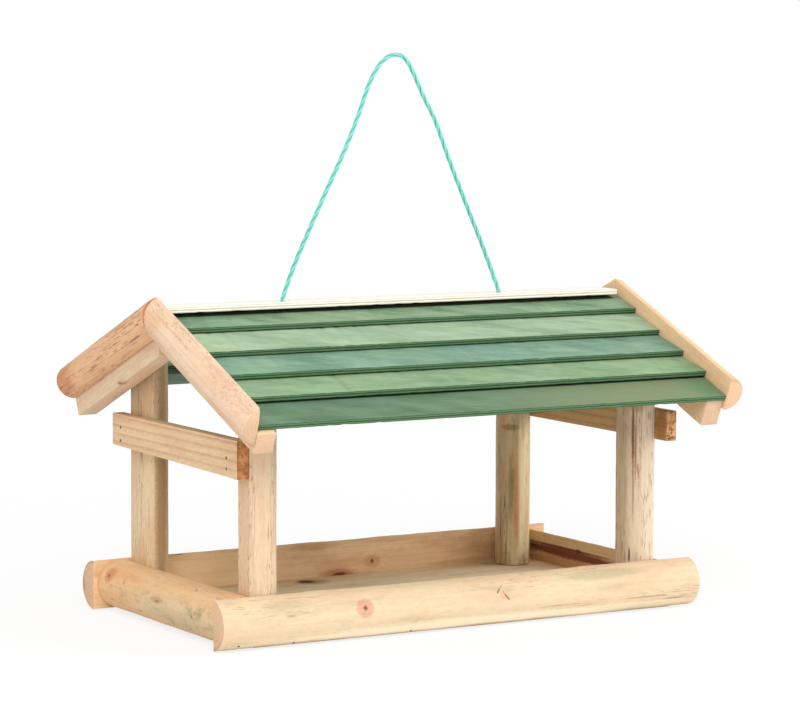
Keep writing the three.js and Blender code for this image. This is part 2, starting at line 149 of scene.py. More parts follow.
class RoofSettings(bpy.types.PropertyGroup):
    """Sizes and colours of the ply slats and the ridge strip."""

    chip_depth: length_setting("Chip depth", "Depth of the chips in a ply edge", 0.9)
    ply_ease: length_setting("Ply edge", "Rounding of the ply's edges", 0.25)
    ridge_slat: colour_setting("Ridge slat", "Stain of the slats next to the ridge", "#8ea785")
    second_slat: colour_setting("Second slat", "Stain of the second slats", "#a6bb9a")
    middle_slat: colour_setting("Middle slat", "Stain of the middle slats", "#85a68d")
    fourth_slat: colour_setting("Fourth slat", "Stain of the fourth slats", "#91ac86")
    eave_slat: colour_setting("Eave slat", "Stain of the slats at the eaves", "#658367")
    stained_core: colour_setting("Stained core", "Dark layers in a slat's edge", "#2a462a")
    stained_veneer: colour_setting("Stained veneer", "Light layer in a slat's edge", "#5b7e57")
    bare_ply: colour_setting("Bare ply", "The ridge strip's unstained ply", "#faf6ec")


class CordSettings(bpy.types.PropertyGroup):
    """Sizes and colours of the twisted cord."""

    diameter: length_setting("Diameter", "Across the three strands of the cord", 3.2)
    lay: length_setting("Lay", "Length of one full turn of the three strands", 27)
    # The light colour is painted light on the strands' crowns, and the dark one painted shade between the
    # strands
    light: colour_setting("Light", "The cord's fibres in the light", "#78d6c6")
    dark: colour_setting("Dark", "The cord's fibres between the strands", "#35958a")


class NailSettings(bpy.types.PropertyGroup):
    """Sizes and colours of the wire nails."""

    shank: length_setting("Shank", "Radius of a nail's shank", 0.7)
    head: length_setting("Head", "Radius of a nail's head", 1.1)
    head_thickness: length_setting("Head thickness", "Thickness of a nail's head", 0.8)
    proud: length_setting("Proud", "How far a nail's head stands out of the wood", 0.2)
    steel: colour_setting("Steel", "Dull wire", "#7d6f60")
    rust: colour_setting("Rust", "Rust on the heads", "#643f2b")


class StageSettings(bpy.types.PropertyGroup):
    """The floor and the lights."""

    floor: colour_setting("Floor", "Colour of the floor", "#fbfbfb")
    key: bpy.props.FloatProperty(
        name="Key light", description="Power of the large soft light", default=28, min=0, unit="POWER",
    )
    fill: bpy.props.FloatProperty(
        name="Fill light", description="Power of the light from the right", default=19, min=0, unit="POWER",
    )
    sky: bpy.props.FloatProperty(
        name="Room light", description="Strength of the even light from all round", default=0.72, min=0,
    )


# Hand work on meshes


def free_hands():
    """Back to object mode, with nothing selected."""
    if bpy.context.mode != "OBJECT":
        bpy.ops.object.mode_set(mode="OBJECT")
    bpy.ops.object.select_all(action="DESELECT")


def pick_up(piece):
    """Selects one piece alone and makes it active."""
    free_hands()
    piece.select_set(True)
    bpy.context.view_layer.objects.active = piece


def take_new(name):
    """Names the primitive that was just added and applies its place."""
    piece = bpy.context.object
    piece.name = name
    piece.data.name = name
    pick_up(piece)
    bpy.ops.object.transform_apply(location=True, rotation=True, scale=True)
    return piece


def turned(x_way, z_way):
    """The rotation that lays a primitive's X and Z axes along these."""
    return Matrix((x_way, z_way.cross(x_way), z_way)).transposed().to_euler()


def slice_up(piece, along, cuts):
    """Divides every edge that runs along a direction, which rings the piece with new edges."""
    pick_up(piece)
    bpy.ops.object.mode_set(mode="EDIT")
    bpy.ops.mesh.select_mode(type="EDGE")
    bpy.ops.mesh.select_all(action="DESELECT")
    mesh = bmesh.from_edit_mesh(piece.data)
    for edge in mesh.edges:
        line = (edge.verts[1].co - edge.verts[0].co).normalized()
        edge.select = abs(line.dot(along)) > 0.999
    bmesh.update_edit_mesh(piece.data)
    bpy.ops.mesh.subdivide(number_cuts=cuts)
    bpy.ops.object.mode_set(mode="OBJECT")


def saw(piece, point, outward):
    """Cuts the piece along a plane, takes off what is outside and closes the cut."""
    pick_up(piece)
    bpy.ops.object.mode_set(mode="EDIT")
    bpy.ops.mesh.select_all(action="SELECT")
    bpy.ops.mesh.bisect(plane_co=point, plane_no=outward, use_fill=True, clear_outer=True)
    bpy.ops.object.mode_set(mode="OBJECT")


def merge_points(piece, distance):
    """Merges points that lie closer than a distance."""
    pick_up(piece)
    bpy.ops.object.mode_set(mode="EDIT")
    bpy.ops.mesh.select_all(action="SELECT")
    bpy.ops.mesh.remove_doubles(threshold=distance)
    bpy.ops.mesh.normals_make_consistent(inside=False)
    bpy.ops.object.mode_set(mode="OBJECT")


def use(piece, kind, **settings):
    """Adds a modifier with these settings and applies it."""
    pick_up(piece)
    modifier = piece.modifiers.new(kind.title(), kind)
    for setting, value in settings.items():
        setattr(modifier, setting, value)
    bpy.ops.object.modifier_apply(modifier=modifier.name)


def clouds(name, size, stops=None):
    """A soft noise for wearing a mesh: size in metres, and stops of grey where it should be uneven."""
    texture = bpy.data.textures.get(name)
    if texture is None:
        texture = bpy.data.textures.new(name, "CLOUDS")
        texture.noise_scale = size
        texture.noise_depth = 2
        if stops:
            texture.use_color_ramp = True
            ramp = texture.color_ramp
            for element, (place, grey) in zip(ramp.elements, stops):
                element.position = place
                element.color = (grey, grey, grey, 1)
    return texture


def wear(piece, texture, depth, group=""):
    """Moves the surface inwards, by up to a depth, where the texture is dark."""
    use(
        piece, "DISPLACE", texture=texture, texture_coords="LOCAL", mid_level=1, strength=depth,
        vertex_group=group,
    )


def ease_edges(piece, width):
    """Rounds the sharp edges."""
    use(
        piece, "BEVEL", width=width, segments=2, limit_method="ANGLE",
        angle_limit=math.radians(35), use_clamp_overlap=False, harden_normals=False,
    )


def smooth(piece, degrees=32):
    """Smooth shading, apart from edges sharper than this."""
    pick_up(piece)
    bpy.ops.object.shade_smooth_by_angle(angle=math.radians(degrees))


def node_points(node):
    """A CAD node's corners, as rows of an array."""
    return np.array([v.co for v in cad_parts[node].data.vertices], float)


def reach(points, way):
    """How far points reach along a direction: lowest and highest."""
    along = points @ np.array(way)
    return float(along.min()), float(along.max())


SMALLEST_SAWN_FACE = 3e-5  # square metres
SAME_LEVEL = 0.02 * MM
SAME_WAY = 0.99995  # cosine between the normals of one plane's faces
END_GRAIN = 0.88  # cosine between the grain and the normal of a face across it


def sawn_faces(node):
    """The flat faces of a CAD node, as points and outward normals. Small ones, in holes, are left out."""
    found = []
    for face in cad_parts[node].data.polygons:
        for plane in found:
            level = abs((face.center - plane["point"]).dot(plane["normal"])) < SAME_LEVEL
            if level and plane["normal"].dot(face.normal) > SAME_WAY:
                plane["area"] += face.area
                break
        else:
            found.append({"point": face.center.copy(), "normal": face.normal.copy(), "area": face.area})
    return [(p["point"], p["normal"]) for p in found if p["area"] > SMALLEST_SAWN_FACE]


def lay_grain(piece, pith, along, across, shift):
    """Writes where each point lies in its tree: along the grain, across it and out from the pith.
    Faces across the grain are marked as end grain."""
    mesh = piece.data
    out = along.cross(across)
    basis = np.array([along, across, out]).T
    points = np.empty(len(mesh.vertices) * 3)
    mesh.vertices.foreach_get("co", points)
    local = (points.reshape(-1, 3) - np.array(pith)) @ basis
    local[:, 0] += shift
    grain = mesh.attributes.new("grain", "FLOAT_VECTOR", "POINT")
    grain.data.foreach_set("vector", local.astype(np.float32).ravel())
    ends = mesh.attributes.new("end_grain", "FLOAT", "FACE")
    marks = [float(abs(face.normal.dot(along)) > END_GRAIN) for face in mesh.polygons]
    ends.data.foreach_set("value", marks)


def put_on(piece, finish, body="table", nodes=()):
    """Gives a finished piece its material, the nodes it stands for and the body it rides on."""
    piece.data.materials.clear()
    piece.data.materials.append(finish)
    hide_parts(*nodes)
    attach(piece, body)
    return piece


# Shader maths

# A colour mix node's sockets
MIX_FACTOR = 0
MIX_UNDER = 6
MIX_OVER = 7
MIX_RESULT = 2


class Value:
    """A number that varies over a surface. Sums on it add Math nodes."""

    def __init__(self, finish, socket):
        self.finish = finish
        self.socket = socket

    def maths(self, operation, *numbers):
        return self.finish.maths(operation, self, *numbers)

    def __add__(self, other):
        return self.maths("ADD", other)

    def __mul__(self, other):
        return self.maths("MULTIPLY", other)

    def __sub__(self, other):
        return self.maths("SUBTRACT", other)

    def __truediv__(self, other):
        return self.maths("DIVIDE", other)

    def __rsub__(self, other):
        return self.finish.maths("SUBTRACT", other, self)

    __radd__ = __add__
    __rmul__ = __mul__


class Finish:
    """A material in the making."""

    def __init__(self, name, **fixed):
        self.material = bpy.data.materials.new(name)
        self.material.use_nodes = True
        self.tree = self.material.node_tree
        self.skin = next(n for n in self.tree.nodes if n.type == "BSDF_PRINCIPLED")
        for socket, value in fixed.items():
            self.skin.inputs[socket.replace("_", " ")].default_value = value

    def node(self, kind, settings=None, values=None):
        """Adds a node: its settings first, then the values or links of its sockets."""
        made = self.tree.nodes.new(kind)
        for setting, value in (settings or {}).items():
            setattr(made, setting, value)
        for key, value in (values or {}).items():
            self.join(made.inputs[key], value)
        return made

    def join(self, socket, value):
        if isinstance(value, Value):
            value = value.socket
        if isinstance(value, bpy.types.NodeSocket):
            self.tree.links.new(value, socket)
        else:
            socket.default_value = value

    def maths(self, operation, *numbers):
        made = self.node("ShaderNodeMath", {"operation": operation}, dict(enumerate(numbers)))
        return Value(self, made.outputs[0])

    def attribute(self, name):
        """A piece's own attribute, as a vector socket and as a number."""
        made = self.node("ShaderNodeAttribute", {"attribute_type": "GEOMETRY", "attribute_name": name})
        return made.outputs["Vector"], Value(self, made.outputs["Fac"])

    def place(self):
        """Object coordinates."""
        return self.node("ShaderNodeTexCoord").outputs["Object"]

    def axes(self, vector):
        """The three numbers of a vector."""
        made = self.node("ShaderNodeSeparateXYZ", None, {0: vector})
        return [Value(self, s) for s in made.outputs]

    def vector(self, x, y, z):
        return self.node("ShaderNodeCombineXYZ", None, {0: x, 1: y, 2: z}).outputs[0]

    def noise(self, vector, scales, detail, rough=0.5, shift=(0, 0, 0)):
        """Noise from 0 to 1, with scales in cycles to a metre."""
        scaled = self.node(
            "ShaderNodeMapping", {"vector_type": "POINT"},
            {"Vector": vector, "Location": shift, "Scale": scales},
        )
        made = self.node(
            "ShaderNodeTexNoise", {"noise_dimensions": "3D"},
            {"Vector": scaled.outputs[0], "Scale": 1.0, "Detail": detail, "Roughness": rough},
        )
        return Value(self, made.outputs["Fac"])

    def rise(self, value, low, high, under=0.0, over=1.0):
        """0 below low, 1 above high and smooth between, or two other numbers."""
        made = self.node(
            "ShaderNodeMapRange", {"interpolation_type": "SMOOTHSTEP", "clamp": True},
            {"Value": value, "From Min": low, "From Max": high, "To Min": under, "To Max": over},
        )
        return Value(self, made.outputs[0])

    def fall(self, value, low, high):
        """1 below low, 0 above high and smooth between."""
        return self.rise(value, low, high, 1.0, 0.0)

    def vector_maths(self, operation, sockets, result="Vector"):
        made = self.node("ShaderNodeVectorMath", {"operation": operation}, sockets)
        return made.outputs[result]

    def distance(self, vector, point, squeeze=(1, 1, 1)):
        """How far a vector is from a point, with the axes squeezed."""
        moved = self.vector_maths("SUBTRACT", {0: vector, 1: point})
        scaled = self.vector_maths("MULTIPLY", {0: moved, 1: squeeze})
        return Value(self, self.vector_maths("LENGTH", {0: scaled}, "Value"))

    def share_out(self, vector, point, sizes):
        """How far a vector is from a point, 1 at these half sizes. Point and sizes are in millimetres."""
        return self.distance(vector, Vector(point) * MM, [1 / (size * MM) for size in sizes])

    def stroke(self, vector, start, stop):
        """How far a vector is from the straight line between two points."""
        line = stop - start
        moved = self.vector_maths("SUBTRACT", {0: vector, 1: start})
        dot = self.vector_maths("DOT_PRODUCT", {0: moved, 1: line}, "Value")
        share = self.node(
            "ShaderNodeMath", {"operation": "DIVIDE", "use_clamp": True}, {0: dot, 1: line.length_squared},
        )
        near = self.vector_maths("SCALE", {0: line, "Scale": share.outputs[0]})
        return self.distance(moved, near)

    def mix(self, factor, under, over):
        """Lays one colour over another."""
        return self.node(
            "ShaderNodeMix", {"data_type": "RGBA", "clamp_factor": True},
            {MIX_FACTOR: factor, MIX_UNDER: under, MIX_OVER: over},
        ).outputs[MIX_RESULT]

    def done(self, colour, roughness, height, relief, strength):
        """Joins the varying values to the skin and returns the material."""
        self.join(self.skin.inputs["Base Color"], colour)
        self.join(self.skin.inputs["Roughness"], roughness)
        bump = self.node(
            "ShaderNodeBump", None, {"Height": height, "Distance": relief, "Strength": strength},
        )
        self.join(self.skin.inputs["Normal"], bump.outputs[0])
        return self.material


def timber(
    name, pale, dark, ring=2.6, ring_show=0.15, wobble=1.6, fleck=0.0, fleck_bands=0.5, fleck_run=85,
    fleck_colour="#8a452b", lines=0.0, blush=0.3, blush_colour="#cf9478", stain=0.0,
    stain_colour="#8f9272", end_pale="#ddbe9d", end_dark="#c29069", end_rim="#b9805e", end_rings=0.2,
    end_mottle=0.3, bark_at=0.0, knots=(), marks=(), cuts=(), mould=(), seed=0.0,
):
    """A material for a log or a plank, from where each point lay in its tree. Sizes are in millimetres.
    ring, ring_show, wobble: a year ring's width, how strongly it shows and how far it strays.
    fleck, fleck_bands, fleck_run: how strong the flecks of inner bark are, the level of noise above which
    they come, and how short they are. lines: how strong the fainter lines under them are.
    blush, stain: how strong the warm and the weathered patches are.
    end_pale, end_dark, end_rings, end_mottle: the end grain, with end_rim next to the bark, bark_at from the
    pith. knots, marks, mould, cuts: places in the part's own axes."""
    settings = bpy.context.scene.bird_table_timber
    made = Finish(name, Specular_IOR_Level=0.35)
    grain, _ = made.attribute("grain")
    _, end = made.attribute("end_grain")
    place = made.place()
    _, across, out = made.axes(grain)
    shift = (seed * 3.1, seed * 1.7, seed * 2.3)
    crumbs = made.noise(place, (800, 800, 800), 2.0, 0.6)

    # Rings round the pith, pushed about by slow waves and by the knots
    wave = made.noise(grain, (7, 45, 45), 2.0, 0.5, shift) - 0.5
    push = wave * (wobble * 2 * MM)
    discs = []
    for point, size in knots:
        away = made.distance(place, Vector(point) * MM) + (crumbs - 0.5) * (0.12 * size * MM)
        push = push + made.fall(away, 0.4 * size * MM, 1.5 * size * MM) * (ring * 1.2 * MM)
        discs.append((away, size))
    radius = made.maths("SQRT", across * across + out * out) + push
    phase = made.maths("FRACT", radius / (ring * MM))
    late = made.rise(phase, 0.45, 0.9) * made.fall(phase, 0.9, 1.0)

    # Fibres
    fibre = made.noise(grain, (55, 1500, 1500), 3.0, 0.6, shift)
    streak = made.noise(grain, (9, 320, 320), 2.0, 0.55, shift)
    broad = made.noise(grain, (16, 55, 55), 3.0, 0.55, shift)
    patchy = made.noise(grain, (150, 380, 380), 3.0, 0.65, shift)
    tone = late * ring_show + (streak - 0.5) * 0.6 + (fibre - 0.5) * 0.25 + (patchy - 0.5) * 0.85 + 0.1
    colour = made.mix(tone, paint(pale), paint(dark))
    colour = made.mix(made.rise(broad, 0.42, 0.75) * blush, colour, paint(blush_colour))
    if stain:
        patch = made.noise(grain, (22, 90, 90), 4.0, 0.65, (seed, 4.0, 9.0))
        colour = made.mix(made.rise(patch, 0.5, 0.72) * stain, colour, paint(stain_colour))

    # Flecks of inner bark in bands, on fainter lines
    height = late * 0.3 + fibre * 0.45 + streak * 0.3 + patchy * 0.3
    if fleck:
        bands = made.noise(grain, (9, 100, 100), 3.0, 0.6, (seed * 5, 1.0, 2.0))
        if lines:
            thread = made.rise(made.noise(grain, (22, 520, 520), 3.0, 0.6, shift), 0.5, 0.66)
            thread = thread * made.rise(bands, fleck_bands - 0.16, fleck_bands + 0.1) * (1 - end)
            colour = made.mix(thread * lines, colour, paint(fleck_colour))
        cells = made.noise(grain, (fleck_run, 1000, 1000), 1.5, 0.5, shift)
        flecks = made.rise(cells, 0.59, 0.65) * made.rise(bands, fleck_bands, fleck_bands + 0.12) * (1 - end)
        colour = made.mix(flecks * fleck, colour, paint(fleck_colour))
        height = height + flecks * 0.5

    # Stains and scars, and on some pieces painted light and painted shade: each has its place, its half
    # sizes, its colour and its strength
    for point, sizes, hue, strength in marks:
        away = made.share_out(place, point, sizes) + (crumbs - 0.5) * 0.6 + (streak - 0.5) * 0.8
        colour = made.mix(made.fall(away, 0.45, 1.1) * strength, colour, paint(hue))

    # Mould: blotches within a place, its half sizes, colour and strength
    for point, sizes, hue, strength in mould:
        blots = made.rise(made.noise(grain, (75, 150, 150), 6.0, 0.74, shift), 0.48, 0.72)
        within = made.fall(made.share_out(place, point, sizes), 0.7, 1.05)
        colour = made.mix(blots * within * strength, colour, paint(hue))

    # Nicks: each has its two ends, its half width, its colour and its strength
    for start, stop, width, hue, strength in cuts:
        away = made.stroke(place, Vector(start) * MM, Vector(stop) * MM)
        away = away + (crumbs - 0.5) * (0.9 * width * MM)
        nick = made.fall(away, 0.5 * width * MM, 1.1 * width * MM)
        colour = made.mix(nick * strength, colour, paint(hue))

    # Knots: a disc with faint rings and a dark heart
    for away, size in discs:
        disc = made.fall(away, 0.5 * size * MM, 0.85 * size * MM)
        rings = made.rise(made.maths("PINGPONG", away, 0.09 * size * MM), 0.0, 0.09 * size * MM)
        colour = made.mix(disc * (rings * 0.3 + 0.35), colour, paint(settings.knot))
        heart = made.fall(away, 0.08 * size * MM, 0.24 * size * MM)
        colour = made.mix(heart * 0.8, colour, paint(settings.knot_heart))

    # End grain
    blot = made.noise(place, (170, 170, 170), 2.0, 0.5)
    end_tone = late * end_rings + (crumbs - 0.5) * 1.1 * end_mottle + (blot - 0.5) * 1.3 * end_mottle + 0.25
    end_colour = made.mix(end_tone, paint(end_pale), paint(end_dark))
    if bark_at:
        rim = made.rise(radius, (bark_at - 3.0) * MM, (bark_at - 0.2) * MM)
        end_colour = made.mix(rim * 0.5, end_colour, paint(end_rim))
    colour = made.mix(end, colour, end_colour)
    rough = 0.6 + fibre * 0.16 + end * 0.14
    return made.done(colour, rough, height + end * crumbs, 0.35 * MM, 0.7)


def ply(
    name, face_pale, face_dark, core, veneer, clouding=1.0, hues=None, tints=(), painted_shade_from=None,
    painted_shade_strength=0.0, painted_shade_end=None, seed=0.0,
):
    """A material for ply: its face, and the layers that its edges show.
    Hues are a cool and a warm colour that drift over the face. Tints are spread from one place to another
    along the ridge. Uphill of a given place, where the slat above or the ridge strip lies over it, the face
    has painted shade, as far right as a given end."""
    made = Finish(name, Specular_IOR_Level=0.35)
    grain, _ = made.attribute("grain")
    _, edge = made.attribute("ply_edge")
    along, across, out = made.axes(grain)
    shift = (seed * 2.7, seed * 1.3, 0.0)
    fibre = made.noise(grain, (40, 1400, 0), 3.0, 0.6, shift)
    band = made.noise(grain, (6, 130, 0), 2.0, 0.5, shift)
    brushed = made.vector(along + across * 1.7, across, 0.0)
    cloud = made.noise(brushed, (24, 30, 0), 3.0, 0.6, shift)
    wisp = made.noise(brushed, (60, 160, 0), 2.0, 0.6, shift)
    mottle = made.noise(grain, (260, 520, 0), 2.0, 0.6, shift)
    tone = (cloud - 0.5) * 2.4 * clouding + (wisp - 0.5) * clouding + (mottle - 0.5) * 0.5
    tone = tone + (fibre - 0.5) * 0.6 + (band - 0.5) * 0.5
    face = made.mix(tone + 0.45, paint(face_pale), paint(face_dark))
    if hues:
        drift = made.noise(brushed, (15, 34, 0), 3.0, 0.6, (seed + 5, seed, 0.0))
        face = made.mix(made.rise(drift, 0.5, 0.7) * 0.5, face, hues[0])
        face = made.mix(made.fall(drift, 0.3, 0.5) * 0.4, face, hues[1])
    slanted = made.vector(along - across * 1.2, across, 0.0)
    scratch = made.rise(made.noise(slanted, (70, 1100, 0), 1.0), 0.68, 0.74)
    face = made.mix(scratch * 0.25 * clouding, face, paint(face_pale))
    length = made.axes(made.place())[0]
    for start, stop, hue, strength in tints:
        spread = made.rise(length + (cloud - 0.5) * 0.1, start * MM, stop * MM)
        face = made.mix(spread * (cloud + wisp) * strength, face, paint(hue))
    # Painted shade where the slat above or the ridge strip lies over the face
    if painted_shade_from is not None:
        shade = made.rise(across, (painted_shade_from - 1.2) * MM, (painted_shade_from + 0.4) * MM)
        if painted_shade_end is not None:
            shade = shade * made.fall(length, (painted_shade_end - 1.5) * MM, (painted_shade_end + 0.5) * MM)
        face = made.mix(shade * painted_shade_strength, face, paint("#121c0f"))

    # The edge: a light layer on each side of the middle, between dark ones
    crumbs = made.noise(grain, (300, 900, 900), 3.0, 0.6, shift)
    depth = made.maths("ABSOLUTE", out) + (crumbs - 0.5) * (0.25 * MM)
    side = made.rise(depth, 0.25 * MM, 0.55 * MM) * made.fall(depth, 1.3 * MM, 1.7 * MM)
    layers = made.mix(side * 0.9 + (crumbs - 0.5) * 0.4, paint(core), paint(veneer))
    colour = made.mix(edge, face, layers)
    height = fibre * 0.5 + cloud * 0.2 + side * edge * 0.6
    rough = 0.55 + fibre * 0.2 + edge * 0.2
    return made.done(colour, rough, height, 0.25 * MM, 0.6)


def cord_finish(settings):
    """Twisted fibres, with painted light along the plies' crowns and painted shade between them."""
    made = Finish("cord_twist", Specular_IOR_Level=0.45, Sheen_Weight=0.15)
    lay, _ = made.attribute("lay")
    along, around, lit_crown = made.axes(lay)
    yarn = made.maths("FRACT", along * 260.0 + around * 5.0)
    thread = made.rise(yarn, 0.0, 0.25) * made.fall(yarn, 0.7, 1.0)
    fuzz = made.noise(lay, (300, 5, 1), 2.0, 0.6)
    # Painted light on each strand's crown and painted shade between the strands
    tone = lit_crown * 0.85 + thread * 0.12 + (fuzz - 0.5) * 0.4
    colour = made.mix(tone, paint(settings.dark), paint(settings.light))
    return made.done(colour, 0.45 + fuzz * 0.2, thread * 0.5 + fuzz * 0.5, 0.12 * MM, 0.6)


def nail_finish(settings):
    """Bright wire with rust on it."""
    made = Finish("wire_nail", Metallic=0.85)
    place = made.place()
    patch = made.rise(made.noise(place, (900, 900, 900), 3.0, 0.6), 0.4, 0.62)
    colour = made.mix(patch, paint(settings.steel), paint(settings.rust))
    rough = 0.35 + patch * 0.4
    return made.done(colour, rough, patch, 0.1 * MM, 0.6)


# Logs and planks from the frame's nodes


LOG_SIDES = 88


def turn_log(name, node, along, flat):
    """A round log on the node's axis, peeled, and then sawn wherever the node is flat."""
    settings = bpy.context.scene.bird_table_timber
    points = node_points(node)
    across = along.cross(flat)
    low, high = reach(points, across)
    half = (high - low) / 2
    outer, face = reach(points, flat)
    depth = face - outer
    radius = half if depth >= half else (half ** 2 + depth ** 2) / (2 * depth)
    start, end = reach(points, along)
    spare = 3 * MM
    middle = along * (start + end) / 2 + across * (low + high) / 2 + flat * (outer + radius)
    bpy.ops.mesh.primitive_cylinder_add(
        vertices=LOG_SIDES, radius=radius, depth=end - start + 2 * spare, location=middle,
        rotation=turned(flat, along),
    )
    piece = take_new(name)
    slice_up(piece, along, max(8, round((end - start) / settings.slice_length)))
    wear(piece, clouds("peeling", 0.045), settings.peel_depth)
    wear(piece, clouds("small_waves", 0.009), settings.fibre_depth)
    # The node's round side is many narrow flats at about one radius: those aren't sawn
    for point, outward in sawn_faces(node):
        aside = (middle - point).dot(outward)
        if abs(outward.dot(along)) > 0.3 or abs(aside) < 0.95 * radius:
            saw(piece, point, outward)
    if node == "barge_left_front":
        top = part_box(node)[1]
        for run, drop, lean in BLUNT_FOOT:
            corner = Vector((0, RIDGE_Y, top.z)) + (DOWN_FRONT * run + UNDER_FRONT * drop) * MM
            lean = math.radians(lean)
            saw(piece, corner, DOWN_FRONT * math.cos(lean) - UNDER_FRONT * math.sin(lean))
    merge_points(piece, 0.2 * MM)
    ease_edges(piece, settings.log_ease)
    smooth(piece)
    return piece, middle, across, radius


def cut_plank(name, node, along, up, cuts, layers=0):
    """A plank on the node's box, in its own directions, sawn wherever the node is."""
    points = node_points(node)
    across = up.cross(along)
    spans = [reach(points, way) for way in (along, across, up)]
    middle = sum((way * (low + high) / 2 for way, (low, high) in zip((along, across, up), spans)), Vector())
    sizes = [high - low for low, high in spans]
    free_hands()
    bpy.ops.mesh.primitive_cube_add(size=1, location=middle, rotation=turned(along, up), scale=sizes)
    piece = take_new(name)
    slice_up(piece, along, cuts)
    if layers:
        slice_up(piece, up, layers)
    for point, outward in sawn_faces(node):
        beyond = max((v.co - point).dot(outward) for v in piece.data.vertices)
        if beyond > 0.1 * MM:
            saw(piece, point, outward)
    return piece, middle, across


def saw_plank(name, node, along, up, cuts):
    """A plank with the small unevenness of a saw."""
    settings = bpy.context.scene.bird_table_timber
    piece, middle, across = cut_plank(name, node, along, up, cuts)
    wear(piece, clouds("saw_wander", 0.03), settings.saw_wander)
    ease_edges(piece, settings.plank_ease)
    smooth(piece)
    return piece, middle, across


HOLE_RADIUS = 1.9 * MM


def bore(piece, x):
    """Bores the cord's hole through a piece, at this place along the ridge."""
    bpy.ops.mesh.primitive_cylinder_add(
        vertices=32, radius=HOLE_RADIUS, depth=60 * MM, location=(x, RIDGE_Y, STRIP_TOP - 5 * MM),
    )
    bit = take_new("drill_bit")
    use(piece, "BOOLEAN", operation="DIFFERENCE", solver="EXACT", object=bit)
    bpy.data.objects.remove(bit)


